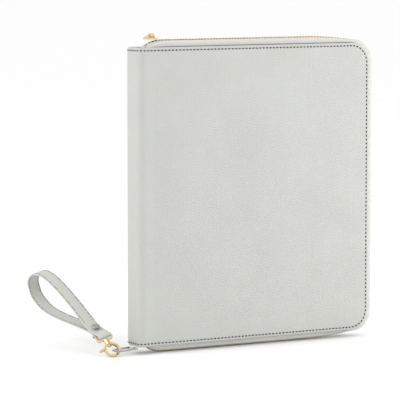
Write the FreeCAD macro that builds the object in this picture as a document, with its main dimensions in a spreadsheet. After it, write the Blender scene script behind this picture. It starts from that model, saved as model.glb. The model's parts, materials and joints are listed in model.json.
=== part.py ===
import FreeCAD, Part
import math
import os

import Sketcher

# A zip-round prayer book that stands on its zip, with a wrist strap clipped to its foot.
# +X runs from the spine to the fore-edge, the front cover faces -Y and +Z is up.
# The origin is on the lowest line of the zip, half way along the book.

doc = FreeCAD.newDocument("PrayerBook")
sheet = doc.addObject("Spreadsheet::Sheet", "Sizes")

DRIVING_SIZES = {
    # cover
    "cover_height": 265.0,
    "cover_width": 242.0,
    "book_thickness": 26.0,
    "corner_radius": 18.5,
    "skin_thickness": 1.0,
    "padding_thickness": 1.2,
    "board_thickness": 1.8,
    "lining_thickness": 0.4,
    # spine
    "spine_depth": 9.0,
    "spine_radius": 6.5,
    "spine_wall": 1.2,
    "spine_board_thickness": 1.5,
    "spine_board_inset": 3.0,
    "hinge_gap": 0.3,
    # zip
    "zip_rise": 6.5,
    "fore_edge_rise": 3.0,
    "teeth_rise": 1.0,
    "teeth_width": 1.5,
    "teeth_overlap": 0.1,
    "parting_gap": 0.3,
    "tape_thickness": 1.2,
    "tape_leg": 6.0,
    "tape_bend": 2.8,
    "tape_start": 16.0,
    # text block
    "fore_edge_inset": 9.0,
    "head_inset": 9.0,
    "leaf_corner_radius": 10.0,
    "leaf_clearance": 0.3,
    "leaf_hinge_gap": 0.5,
    "endpaper_thickness": 0.4,
    "band_height": 1.6,
    "band_depth": 4.0,
    # slider and pull
    "slider_length": 9.0,
    "slider_margin": 2.2,
    "slider_wall": 1.2,
    "slider_clearance": 0.4,
    "bail_bar": 1.0,
    "bail_width": 1.4,
    "bail_length": 7.0,
    "pull_length": 12.0,
    "pull_width": 3.8,
    "pull_thickness": 1.2,
    "pull_eye_wall": 0.9,
    "pull_hole_play": 0.04,
    "pull_droop": 15.0,
    # tab and ring at the foot of the spine
    "tab_width": 6.0,
    "tab_reach": 5.2,
    "tab_thickness": 3.6,
    "tab_centre_y": -7.0,
    "ring_pivot_height": 6.0,
    "ring_wire": 1.5,
    "ring_length": 19.0,
    "ring_width": 12.6,
    "ring_corner": 2.6,
    "ring_play": 0.05,
    "ring_rise": -4.0,
    # clasp
    "claw_wall": 1.9,
    "claw_room": 3.1,
    "claw_wire_ratio": 1.6,
    "claw_thickness": 2.4,
    "claw_level": 6.55,
    "claw_sink_ratio": 0.5,
    "claw_shift": 1.4,
    "claw_seat": 3.0,
    "barrel_sink": 1.2,
    "gate_relief": 13.0,
    "gate_heel": 6.0,
    "gate_slot_play": 0.3,
    "gate_face_play": 0.1,
    "thumb_overlap": 1.2,
    "thumb_root": 1.8,
    "thumb_drop": 0.6,
    "slider_gap": 1.0,
    "pull_blade_gap": 0.3,
    "post_root": 1.0,
    "gate_start": 150.0,
    "gate_end": 214.0,
    "gate_gap": 2.5,
    "gate_thickness": 2.0,
    "thumb_length": 4.2,
    "thumb_width": 2.0,
    "pin_radius": 0.6,
    "pin_play": 0.05,
    "barrel_radius": 2.6,
    "barrel_length": 3.4,
    "post_radius": 1.2,
    "post_play": 0.05,
    "post_head_radius": 1.8,
    "post_head_height": 0.7,
    "post_end_gap": 0.3,
    "eye_width": 15.6,
    "eye_length": 6.4,
    "eye_wire": 1.6,
    "eye_corner": 1.8,
    # strap
    "strap_width": 12.0,
    "strap_thickness": 1.6,
    "strap_length": 106.0,
    "strap_far_radius": 17.0,
    "strap_eye_radius": 1.3,
    "strap_throat": 19.0,
    "strap_throat_radius": 0.6,
    "rivet_distance": 11.0,
    "rivet_cap_radius": 3.8,
    "rivet_cap_height": 1.3,
    "rivet_post_radius": 1.25,
    # directions of the clasp and the strap, in degrees
    "clasp_roll": 15.0,
    "clasp_lean": 44.0,
    "strap_climb": 14.0,
}

DERIVED_SIZES = {
    "cover_depth": "=skin_thickness + padding_thickness + board_thickness + lining_thickness",
    "spine_x": "=-cover_width / 2",
    "edge_x": "=cover_width / 2",
    "zip_edge_x": "=edge_x + fore_edge_rise",
    "hinge_x": "=spine_x + spine_depth",
    "lip_x": "=hinge_x - hinge_gap * 2 / 3",
    "panel_x": "=hinge_x + hinge_gap / 3",
    "foot_z": "=zip_rise",
    "head_z": "=zip_rise + cover_height",
    "back_y": "=book_thickness / 2",
    "front_y": "=-book_thickness / 2",
    "inner_y": "=back_y - cover_depth",
    "tray_x": "=panel_x + skin_thickness",
    "tray_edge_x": "=edge_x - skin_thickness",
    "tray_foot_z": "=foot_z + skin_thickness",
    "tray_head_z": "=head_z - skin_thickness",
    "tray_radius": "=corner_radius - skin_thickness",
    "tray_depth": "=cover_depth - skin_thickness",
    "leaf_x": "=hinge_x + leaf_hinge_gap",
    "leaf_edge_x": "=edge_x - fore_edge_inset",
    "leaf_foot_z": "=foot_z + head_inset",
    "leaf_head_z": "=head_z - head_inset",
    "endpaper_y": "=inner_y - leaf_clearance",
    "leaf_y": "=endpaper_y - endpaper_thickness",
    "leaf_front_thickness": "=leaf_y - leaf_clearance",
    "zip_top_z": "=head_z + zip_rise",
    "tape_rise": "=zip_rise - teeth_rise",
    "tape_x": "=hinge_x + tape_start",
    "spine_board_x": "=spine_x + spine_wall",
    "spine_hollow_y": "=back_y - spine_wall",
    "spine_hollow_radius": "=spine_radius - spine_wall",
    "strap_hollow_radius": "=strap_far_radius - strap_thickness",
    "block_back_x": "=spine_board_x + spine_board_thickness",
    "slider_x": "=tape_x - slider_gap - slider_length",
    "ring_pivot_x": "=spine_x - tab_reach + tab_thickness / 2",
    "strap_outer_radius": "=strap_eye_radius + strap_thickness",
    "claw_centre_height": "=claw_level - claw_sink_ratio * ring_wire",
    "claw_inner_radius": "=claw_wire_ratio * ring_wire + claw_room",
    "claw_radius": "=claw_inner_radius + claw_wall",
    "pull_hole_radius": "=sqrt(pow(bail_bar / 2; 2) + pow(bail_width / 2; 2)) + pull_hole_play",
    "pull_eye_radius": "=pull_hole_radius + pull_eye_wall",
}

for row, (alias, number) in enumerate(DRIVING_SIZES.items(), start=1):
    sheet.set("A%d" % row, alias)
    sheet.set("B%d" % row, str(number))
    sheet.setAlias("B%d" % row, alias)
for row, (alias, formula) in enumerate(DERIVED_SIZES.items(), start=1):
    sheet.set("D%d" % row, alias)
    sheet.set("E%d" % row, formula)
    sheet.setAlias("E%d" % row, alias)
doc.recompute()


def size(alias):
    """Value of a named size, in millimetres or degrees."""
    return float(getattr(sheet, alias))


def term(alias):
    """The expression text of a named size, with an optional leading minus sign."""
    if alias.startswith("-"):
        return "-Sizes." + alias[1:]
    return "Sizes." + alias


def term_value(alias):
    """The number that term() stands for."""
    if alias.startswith("-"):
        return -size(alias[1:])
    return size(alias)


PARTS = []
X_AXIS = FreeCAD.Vector(1, 0, 0)
Y_AXIS = FreeCAD.Vector(0, 1, 0)
Z_AXIS = FreeCAD.Vector(0, 0, 1)


def new_body(name):
    """An empty body whose label names its file."""
    body = doc.addObject("PartDesign::Body", name)
    body.Label = name
    PARTS.append(body)
    return body


def new_sketch(body, plane, offset=None):
    """A sketch on one of the body's own planes, moved along the plane's normal."""
    sketch = body.newObject("Sketcher::SketchObject", body.Name + "_sketch")
    for feature in body.Origin.OriginFeatures:
        if feature.Role == plane:
            sketch.AttachmentSupport = [(feature, "")]
    sketch.MapMode = "FlatFace"
    if offset:
        sketch.setExpression("AttachmentOffset.Base.z", offset)
    return sketch


def bind(sketch, kind, args, value, expression):
    """A driving constraint tied to an expression."""
    index = sketch.addConstraint(Sketcher.Constraint(kind, *args, value))
    sketch.setExpression("Constraints[%d]" % index, expression)


def round_sided(sketch, square, rounded, low, high, radius):
    """A rectangle between named positions whose two corners on one side are round."""
    x0, x1, y0, y1, bend = (term_value(name) for name in (square, rounded, low, high, radius))
    way = math.copysign(1.0, x1 - x0)
    quarter = math.pi / 2
    inset = x1 - way * bend
    first = sketch.GeometryCount
    low_circle = Part.Circle(FreeCAD.Vector(inset, y0 + bend, 0), Z_AXIS, bend)
    high_circle = Part.Circle(FreeCAD.Vector(inset, y1 - bend, 0), Z_AXIS, bend)
    low_span = (-quarter, 0) if way > 0 else (2 * quarter, 3 * quarter)
    high_span = (0, quarter) if way > 0 else (quarter, 2 * quarter)
    low_arc, high_arc = first + 1, first + 3
    sketch.addGeometry(Part.LineSegment(FreeCAD.Vector(x0, y0, 0), FreeCAD.Vector(inset, y0, 0)))
    sketch.addGeometry(Part.ArcOfCircle(low_circle, *low_span))
    sketch.addGeometry(Part.LineSegment(FreeCAD.Vector(x1, y0 + bend, 0), FreeCAD.Vector(x1, y1 - bend, 0)))
    sketch.addGeometry(Part.ArcOfCircle(high_circle, *high_span))
    sketch.addGeometry(Part.LineSegment(FreeCAD.Vector(inset, y1, 0), FreeCAD.Vector(x0, y1, 0)))
    sketch.addGeometry(Part.LineSegment(FreeCAD.Vector(x0, y1, 0), FreeCAD.Vector(x0, y0, 0)))
    ends = ((1, 2), (1, 2)) if way > 0 else ((2, 1), (2, 1))
    sketch.addConstraint(Sketcher.Constraint("Tangent", first, 2, low_arc, ends[0][0]))
    sketch.addConstraint(Sketcher.Constraint("Tangent", low_arc, ends[0][1], first + 2, 1))
    sketch.addConstraint(Sketcher.Constraint("Tangent", first + 2, 2, high_arc, ends[1][0]))
    sketch.addConstraint(Sketcher.Constraint("Tangent", high_arc, ends[1][1], first + 4, 1))
    sketch.addConstraint(Sketcher.Constraint("Coincident", first + 4, 2, first + 5, 1))
    sketch.addConstraint(Sketcher.Constraint("Coincident", first + 5, 2, first, 1))
    for number in (0, 4):
        sketch.addConstraint(Sketcher.Constraint("Horizontal", first + number))
    for number in (2, 5):
        sketch.addConstraint(Sketcher.Constraint("Vertical", first + number))
    bind(sketch, "DistanceX", (-1, 1, first, 1), x0, term(square))
    bind(sketch, "DistanceX", (-1, 1, first + 2, 1), x1, term(rounded))
    bind(sketch, "DistanceY", (-1, 1, first, 1), y0, term(low))
    bind(sketch, "DistanceY", (-1, 1, first + 4, 1), y1, term(high))
    bind(sketch, "Radius", (low_arc,), bend, term(radius))
    bind(sketch, "Radius", (high_arc,), bend, term(radius))


def centred_rectangle(sketch, width, height, centre_y="0"):
    """A rectangle centred on the sketch's own Y axis, its sizes given as expressions."""
    first = sketch.GeometryCount
    corners = [(-1, -1), (1, -1), (1, 1), (-1, 1)]
    for number in range(4):
        start = FreeCAD.Vector(*corners[number], 0)
        end = FreeCAD.Vector(*corners[(number + 1) % 4], 0)
        sketch.addGeometry(Part.LineSegment(start, end), False)
    for number in range(4):
        following = first + (number + 1) % 4
        sketch.addConstraint(Sketcher.Constraint("Coincident", first + number, 2, following, 1))
    for number in (0, 2):
        sketch.addConstraint(Sketcher.Constraint("Horizontal", first + number))
        sketch.addConstraint(Sketcher.Constraint("Vertical", first + number + 1))
    bind(sketch, "DistanceX", (-1, 1, first, 1), -1.0, "-(%s) / 2" % width)
    bind(sketch, "DistanceX", (-1, 1, first + 1, 2), 1.0, "(%s) / 2" % width)
    bind(sketch, "DistanceY", (-1, 1, first, 1), -1.0, "(%s) - (%s) / 2" % (centre_y, height))
    bind(sketch, "DistanceY", (-1, 1, first + 1, 2), 1.0, "(%s) + (%s) / 2" % (centre_y, height))


def circle(sketch, radius, centre_x="0", centre_y="0"):
    """A circle whose radius and centre are expressions."""
    index = sketch.addGeometry(Part.Circle(FreeCAD.Vector(0.5, 0.5, 0), FreeCAD.Vector(0, 0, 1), 1), False)
    bind(sketch, "Radius", (index,), 1.0, radius)
    bind(sketch, "DistanceX", (-1, 1, index, 3), 0.5, centre_x)
    bind(sketch, "DistanceY", (-1, 1, index, 3), 0.5, centre_y)


def polygon(sketch, points):
    """A closed outline of straight sides whose corners are pairs of expressions."""
    rough = [FreeCAD.Vector(*point[2:], 0) for point in points]
    first = sketch.GeometryCount
    count = len(points)
    for number in range(count):
        sketch.addGeometry(Part.LineSegment(rough[number], rough[(number + 1) % count]), False)
    for number in range(count):
        following = first + (number + 1) % count
        sketch.addConstraint(Sketcher.Constraint("Coincident", first + number, 2, following, 1))
    for number, (across, along, rough_x, rough_y) in enumerate(points):
        bind(sketch, "DistanceX", (-1, 1, first + number, 1), rough_x, across)
        bind(sketch, "DistanceY", (-1, 1, first + number, 1), rough_y, along)


def pad(body, sketch, length, centred=False, reverse=False):
    """Material on the sketch, along its normal, about it or behind it."""
    feature = body.newObject("PartDesign::Pad", body.Name + "_pad")
    feature.Profile = sketch
    feature.setExpression("Length", length)
    feature.Midplane = centred
    feature.Reversed = reverse
    doc.recompute()
    return feature


def pocket(body, sketch, length=None, centred=False, reverse=False):
    """A cut from the sketch; without a length it goes right through both ways."""
    before = body.Shape.Volume
    feature = body.newObject("PartDesign::Pocket", body.Name + "_pocket")
    feature.Profile = sketch
    if length:
        feature.setExpression("Length", length)
    else:
        feature.Type = "ThroughAll"
    feature.Midplane = centred or not length
    feature.Reversed = reverse
    doc.recompute()
    if body.Shape.Volume >= before - 1e-6:
        raise RuntimeError(body.Name + ": the pocket cuts nothing")
    return feature


def fillet(body, radius, chosen):
    """Round the edges of the body's present shape that chosen() picks."""
    base = body.Tip
    names = []
    for number, edge in enumerate(base.Shape.Edges, start=1):
        if chosen(edge):
            names.append("Edge%d" % number)
    if not names:
        raise RuntimeError(body.Name + ": no edge to round")
    feature = body.newObject("PartDesign::Fillet", body.Name + "_fillet")
    feature.Base = (base, names)
    feature.setExpression("Radius", radius)
    doc.recompute()
    return feature


def runs_along(edge, axis):
    """Whether an edge is straight and parallel to an axis."""
    if not isinstance(edge.Curve, Part.Line):
        return False
    return abs(abs(edge.Curve.Direction.dot(axis)) - 1) < 1e-6


def sheet_layer(name, left, right, low, high, back_face, thickness, corner):
    """A flat layer across the book; back_face is the expression of its +Y face."""
    body = new_body(name)
    sketch = new_sketch(body, "XZ_Plane", "-(%s)" % back_face)
    round_sided(sketch, left, right, low, high, corner)
    pad(body, sketch, thickness)
    return body


def cover(side):
    """One cover: a turned-in skin over padding, board and lining, with its half of the zip."""
    front = side == "front"
    outline = ("panel_x", "edge_x", "foot_z", "head_z")
    tray = ("tray_x", "tray_edge_x", "tray_foot_z", "tray_head_z")
    body = new_body(side + "_cover_skin")
    back_face = "Sizes.front_y + Sizes.cover_depth" if front else "Sizes.back_y"
    sketch = new_sketch(body, "XZ_Plane", "-(%s)" % back_face)
    round_sided(sketch, *outline, "corner_radius")
    pad(body, sketch, "Sizes.cover_depth")
    inner_face = "Sizes.inner_y"
    hollow = new_sketch(body, "XZ_Plane", inner_face if front else "-" + inner_face)
    round_sided(hollow, *tray, "tray_radius")
    pocket(body, hollow, "Sizes.tray_depth", reverse=front)

    layers = (
        ("padding", "Sizes.skin_thickness", "Sizes.padding_thickness"),
        ("board", "Sizes.skin_thickness + Sizes.padding_thickness", "Sizes.board_thickness"),
        ("lining", "Sizes.cover_depth - Sizes.lining_thickness", "Sizes.lining_thickness"),
    )
    for layer, depth, thickness in layers:
        if front:
            face = "Sizes.front_y + %s + %s" % (depth, thickness)
        else:
            face = "Sizes.back_y - (%s)" % depth
        sheet_layer(side + "_cover_" + layer, *tray, face, thickness, "tray_radius")


def zip_path(body):
    """The line that the zip follows round head, fore-edge and foot."""
    sketch = new_sketch(body, "XZ_Plane")
    left, right = size("tape_x"), size("zip_edge_x")
    low, high = size("foot_z"), size("head_z")
    bend = size("corner_radius")
    quarter = math.pi / 2
    foot_turn = FreeCAD.Vector(right - bend, low, 0)
    sketch.addGeometry(Part.LineSegment(FreeCAD.Vector(left, low, 0), foot_turn))
    foot_corner = Part.Circle(FreeCAD.Vector(right - bend, low + bend, 0), Z_AXIS, bend)
    sketch.addGeometry(Part.ArcOfCircle(foot_corner, -quarter, 0))
    edge_foot = FreeCAD.Vector(right, low + bend, 0)
    edge_head = FreeCAD.Vector(right, high - bend, 0)
    sketch.addGeometry(Part.LineSegment(edge_foot, edge_head))
    head_corner = Part.Circle(FreeCAD.Vector(right - bend, high - bend, 0), Z_AXIS, bend)
    sketch.addGeometry(Part.ArcOfCircle(head_corner, 0, quarter))
    head_turn = FreeCAD.Vector(right - bend, high, 0)
    sketch.addGeometry(Part.LineSegment(head_turn, FreeCAD.Vector(left, high, 0)))
    for number in range(4):
        sketch.addConstraint(Sketcher.Constraint("Tangent", number, 2, number + 1, 1))
    sketch.addConstraint(Sketcher.Constraint("Horizontal", 0))
    sketch.addConstraint(Sketcher.Constraint("Vertical", 2))
    sketch.addConstraint(Sketcher.Constraint("Horizontal", 4))
    bind(sketch, "DistanceX", (-1, 1, 0, 1), left, "Sizes.tape_x")
    bind(sketch, "DistanceX", (-1, 1, 4, 2), left, "Sizes.tape_x")
    bind(sketch, "DistanceY", (-1, 1, 0, 1), low, "Sizes.foot_z")
    bind(sketch, "DistanceY", (-1, 1, 4, 2), high, "Sizes.head_z")
    bind(sketch, "DistanceX", (-1, 1, 2, 1), right, "Sizes.zip_edge_x")
    bind(sketch, "Radius", (1,), bend, "Sizes.corner_radius")
    bind(sketch, "Radius", (3,), bend, "Sizes.corner_radius")
    doc.recompute()
    return sketch


def swept(name, outline):
    """A strip of constant section that runs round the zip's three sides."""
    body = new_body(name)
    path = zip_path(body)
    section = new_sketch(body, "YZ_Plane", "Sizes.tape_x")
    polygon(section, outline)
    doc.recompute()
    feature = body.newObject("PartDesign::AdditivePipe", name + "_sweep")
    feature.Profile = section
    feature.Spine = (path, ["Edge%d" % number for number in range(1, 6)])
    doc.recompute()
    return body


def section_points(side, points):
    """Corners across the zip: distance from mid thickness, distance out from the cover's edge."""
    sign = "-" if side == "front" else ""
    factor = -1 if side == "front" else 1
    corners = []
    for across, outward, rough_across, rough_outward in points:
        corners.append((sign + "(" + across + ")", "Sizes.foot_z - (" + outward + ")",
                        factor * rough_across, size("foot_z") - rough_outward))
    return corners


def zip_half(side):
    """One tape, folded out past the cover's edge, and its row of teeth."""
    seam = "Sizes.parting_gap + Sizes.teeth_overlap" if side == "front" else "-Sizes.teeth_overlap"
    rough_seam = 0.4 if side == "front" else -0.1
    leg_face = "Sizes.inner_y"
    leg_inside = "Sizes.inner_y - Sizes.tape_thickness"
    rise = "Sizes.tape_rise"
    under = "Sizes.tape_rise - Sizes.tape_thickness"
    bend = "Sizes.tape_bend"
    swept(side + "_zip_tape", section_points(side, [
        (seam, rise, rough_seam, 5.5),
        (leg_face + " - " + bend, rise, 5.8, 5.5),
        (leg_face, rise + " - " + bend, 8.6, 2.7),
        (leg_face, "-Sizes.tape_leg", 8.6, -6.0),
        (leg_inside, "-Sizes.tape_leg", 7.4, -6.0),
        (leg_inside, rise + " - " + bend + " - Sizes.tape_thickness / 2", 7.4, 2.1),
        (leg_face + " - " + bend + " - Sizes.tape_thickness / 2", under, 5.2, 4.3),
        (seam, under, rough_seam, 4.3),
    ]))
    outer = "(" + seam + ") + Sizes.teeth_width"
    swept(side + "_zip_teeth", section_points(side, [
        (seam, "Sizes.zip_rise", rough_seam, 6.5),
        (outer, "Sizes.zip_rise", rough_seam + 1.5, 6.5),
        (outer, rise, rough_seam + 1.5, 5.5),
        (seam, rise, rough_seam, 5.5),
    ]))


def spine():
    """The rounded spine: its skin, its stiff board and the glued back of the leaves."""
    body = new_body("spine_skin")
    sketch = new_sketch(body, "XY_Plane", "Sizes.foot_z")
    round_sided(sketch, "lip_x", "spine_x", "front_y", "back_y", "spine_radius")
    pad(body, sketch, "Sizes.cover_height")
    hollow = new_sketch(body, "XY_Plane", "Sizes.foot_z")
    round_sided(hollow, "hinge_x", "spine_board_x", "-spine_hollow_y", "spine_hollow_y",
                "spine_hollow_radius")
    pocket(body, hollow, "Sizes.cover_height", reverse=True)

    board = new_body("spine_board")
    sketch = new_sketch(board, "YZ_Plane", "Sizes.spine_board_x")
    centred_rectangle(sketch, "2 * (Sizes.spine_hollow_y - Sizes.spine_hollow_radius)",
                      "Sizes.cover_height - 2 * Sizes.spine_board_inset",
                      "Sizes.foot_z + Sizes.cover_height / 2")
    pad(board, sketch, "Sizes.spine_board_thickness")

    glued_back = new_body("block_back")
    sketch = new_sketch(glued_back, "YZ_Plane", "Sizes.block_back_x")
    centred_rectangle(sketch, "2 * Sizes.leaf_y", "Sizes.leaf_head_z - Sizes.leaf_foot_z",
                      "Sizes.foot_z + Sizes.cover_height / 2")
    pad(glued_back, sketch, "Sizes.hinge_x - Sizes.leaf_clearance - Sizes.block_back_x")

    for name, level in (("head_band", "Sizes.leaf_head_z + Sizes.band_height / 2"),
                        ("tail_band", "Sizes.leaf_foot_z - Sizes.band_height / 2")):
        band = new_body(name)
        sketch = new_sketch(band, "YZ_Plane", "Sizes.block_back_x")
        centred_rectangle(sketch, "2 * Sizes.leaf_y", "Sizes.band_height", level)
        pad(band, sketch, "Sizes.band_depth")
        fillet(band, "Sizes.band_height / 2 - 0.1", lambda edge: runs_along(edge, Y_AXIS)
               and edge.BoundBox.XMin > size("block_back_x") + 1)


def text_block():
    """The leaves in two halves that part in the middle, and the endpapers on their outsides."""
    outline = ("leaf_x", "leaf_edge_x", "leaf_foot_z", "leaf_head_z")
    corner = "leaf_corner_radius"
    paper = "Sizes.endpaper_thickness"
    leaves = "Sizes.leaf_front_thickness"
    sheet_layer("front_endpaper", *outline, "-Sizes.leaf_y", paper, corner)
    sheet_layer("front_leaves", *outline, "-Sizes.leaf_clearance", leaves, corner)
    sheet_layer("back_leaves", *outline, "Sizes.leaf_y", leaves, corner)
    sheet_layer("back_endpaper", *outline, "Sizes.endpaper_y", paper, corner)


def slider():
    """The top plate of the zip slider, its bail and the pull that hangs over the back."""
    body = new_body("slider_body")
    wide = "(2 * Sizes.slider_margin + 2 * Sizes.slider_wall)"
    under = "(Sizes.zip_top_z + Sizes.slider_clearance / 3)"
    roof = "(Sizes.zip_top_z + Sizes.slider_clearance)"
    top = "(%s + Sizes.slider_wall)" % roof
    sketch = new_sketch(body, "YZ_Plane", "Sizes.slider_x")
    centred_rectangle(sketch, wide, top + " - " + under, "(%s + %s) / 2" % (top, under))
    pad(body, sketch, "Sizes.slider_length")
    fillet(body, "Sizes.slider_wall * 0.6", lambda edge: runs_along(edge, X_AXIS)
           and edge.BoundBox.ZMin > size("zip_top_z") + 1)
    channel = new_sketch(body, "YZ_Plane", "Sizes.slider_x")
    centred_rectangle(channel, "2 * Sizes.slider_margin", "2 * (%s - %s)" % (roof, under), under)
    pocket(body, channel, "Sizes.slider_length", reverse=True)

    bail = new_body("slider_bail")
    middle = "(Sizes.slider_x + Sizes.slider_length / 2)"
    opening = "(Sizes.pull_eye_radius + Sizes.slider_clearance / 2 - Sizes.bail_bar / 2)"
    sketch = new_sketch(bail, "XZ_Plane")
    sketch.setExpression("AttachmentOffset.Base.x", middle)
    centred_rectangle(sketch, "Sizes.bail_length", "%s + Sizes.bail_bar" % opening,
                      "%s + (%s + Sizes.bail_bar) / 2" % (top, opening))
    pad(bail, sketch, "Sizes.bail_width", centred=True)
    window = new_sketch(bail, "XZ_Plane")
    window.setExpression("AttachmentOffset.Base.x", middle)
    centred_rectangle(window, "Sizes.bail_length - 2 * Sizes.bail_bar", "2 * " + opening, top)
    pocket(bail, window)

    pull = new_body("pull_tab")
    sketch = new_sketch(pull, "YZ_Plane")
    radius = size("pull_eye_radius")
    circle(sketch, "Sizes.pull_eye_radius")
    pad(pull, sketch, "Sizes.pull_width", centred=True)
    blade = new_sketch(pull, "YZ_Plane")
    centred_rectangle(blade, "Sizes.pull_length", "Sizes.pull_thickness")
    blade.setExpression("AttachmentOffset.Base.x",
                        "Sizes.pull_length / 2 + Sizes.pull_hole_radius + Sizes.pull_blade_gap")
    pad(pull, blade, "Sizes.pull_width", centred=True)
    bore = new_sketch(pull, "YZ_Plane")
    circle(bore, "Sizes.pull_hole_radius")
    pocket(pull, bore)
    fillet(pull, "Sizes.pull_width / 2 - 0.2", lambda edge: runs_along(edge, Z_AXIS)
           and edge.BoundBox.YMin > size("pull_length"))
    pivot_z = (size("zip_top_z") + size("slider_clearance") + size("slider_wall")
               + radius + size("slider_clearance") / 2)
    pivot_x = size("slider_x") + size("slider_length") / 2
    droop = FreeCAD.Rotation(X_AXIS, -size("pull_droop"))
    pull.Placement = FreeCAD.Placement(FreeCAD.Vector(pivot_x, 0, pivot_z), droop)


def foot_tab_and_ring():
    """The folded tab sewn to the foot of the spine and the oval ring that turns in it."""
    tab = new_body("foot_tab")
    sketch = new_sketch(tab, "XZ_Plane", "-Sizes.tab_centre_y")
    centred_rectangle(sketch, "Sizes.tab_reach", "Sizes.tab_thickness", "Sizes.ring_pivot_height")
    sketch.setExpression("AttachmentOffset.Base.x", "Sizes.spine_x - Sizes.tab_reach / 2")
    pad(tab, sketch, "Sizes.tab_width", centred=True)
    fillet(tab, "Sizes.tab_thickness / 2 - 0.1", lambda edge: runs_along(edge, Y_AXIS)
           and edge.BoundBox.XMax < size("spine_x") - 1)
    bore = new_sketch(tab, "XZ_Plane")
    circle(bore, "Sizes.ring_wire * 0.5 * sqrt(2) + Sizes.ring_play",
           "Sizes.ring_pivot_x", "Sizes.ring_pivot_height")
    pocket(tab, bore)

    ring = new_body("d_ring")
    sketch = new_sketch(ring, "XY_Plane")
    centred_rectangle(sketch, "Sizes.ring_length", "Sizes.ring_width")
    sketch.setExpression("AttachmentOffset.Base.x", "(Sizes.ring_wire - Sizes.ring_length) / 2")
    pad(ring, sketch, "Sizes.ring_wire", centred=True)
    inside = new_sketch(ring, "XY_Plane")
    centred_rectangle(inside, "Sizes.ring_length - 2 * Sizes.ring_wire",
                      "Sizes.ring_width - 2 * Sizes.ring_wire")
    inside.setExpression("AttachmentOffset.Base.x", "(Sizes.ring_wire - Sizes.ring_length) / 2")
    pocket(ring, inside)
    far_end = -size("ring_length") / 2
    fillet(ring, "Sizes.ring_corner", lambda edge: runs_along(edge, Z_AXIS)
           and edge.BoundBox.XMax < far_end and abs(edge.BoundBox.YMin) > size("ring_width") / 2 - 0.1)
    fillet(ring, "Sizes.ring_corner - Sizes.ring_wire", lambda edge: runs_along(edge, Z_AXIS)
           and edge.BoundBox.XMax < far_end and abs(edge.BoundBox.YMin) < size("ring_width") / 2 - 0.1)
    pivot = FreeCAD.Vector(size("ring_pivot_x"), size("tab_centre_y"), size("ring_pivot_height"))
    ring.Placement = FreeCAD.Placement(pivot, FreeCAD.Rotation(Y_AXIS, size("ring_rise")))


def clasp_frame():
    """Directions of the clasp: across it, along it from hook to eye, and out of its flat side."""
    roll = math.radians(size("clasp_roll"))
    lean = math.radians(size("clasp_lean"))
    across = FreeCAD.Vector(math.cos(roll), 0, math.sin(roll))
    up = FreeCAD.Vector(-math.sin(roll), 0, math.cos(roll))
    along = Y_AXIS * math.cos(lean) + up * math.sin(lean)
    return across, up, along, across.cross(along)


def clasp_centre():
    """Centre of the hook, which hangs round the far end of the ring."""
    across = clasp_frame()[0]
    reach = size("ring_length") - size("ring_wire")
    rise = math.radians(size("ring_rise"))
    pivot = FreeCAD.Vector(size("ring_pivot_x"), size("tab_centre_y"), size("ring_pivot_height"))
    bar = pivot + FreeCAD.Vector(-reach * math.cos(rise), 0, reach * math.sin(rise))
    seat = size("claw_inner_radius") - size("claw_seat")
    centre = bar - across * seat
    centre.y += size("claw_shift")
    centre.z = size("claw_centre_height")
    return centre


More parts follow.
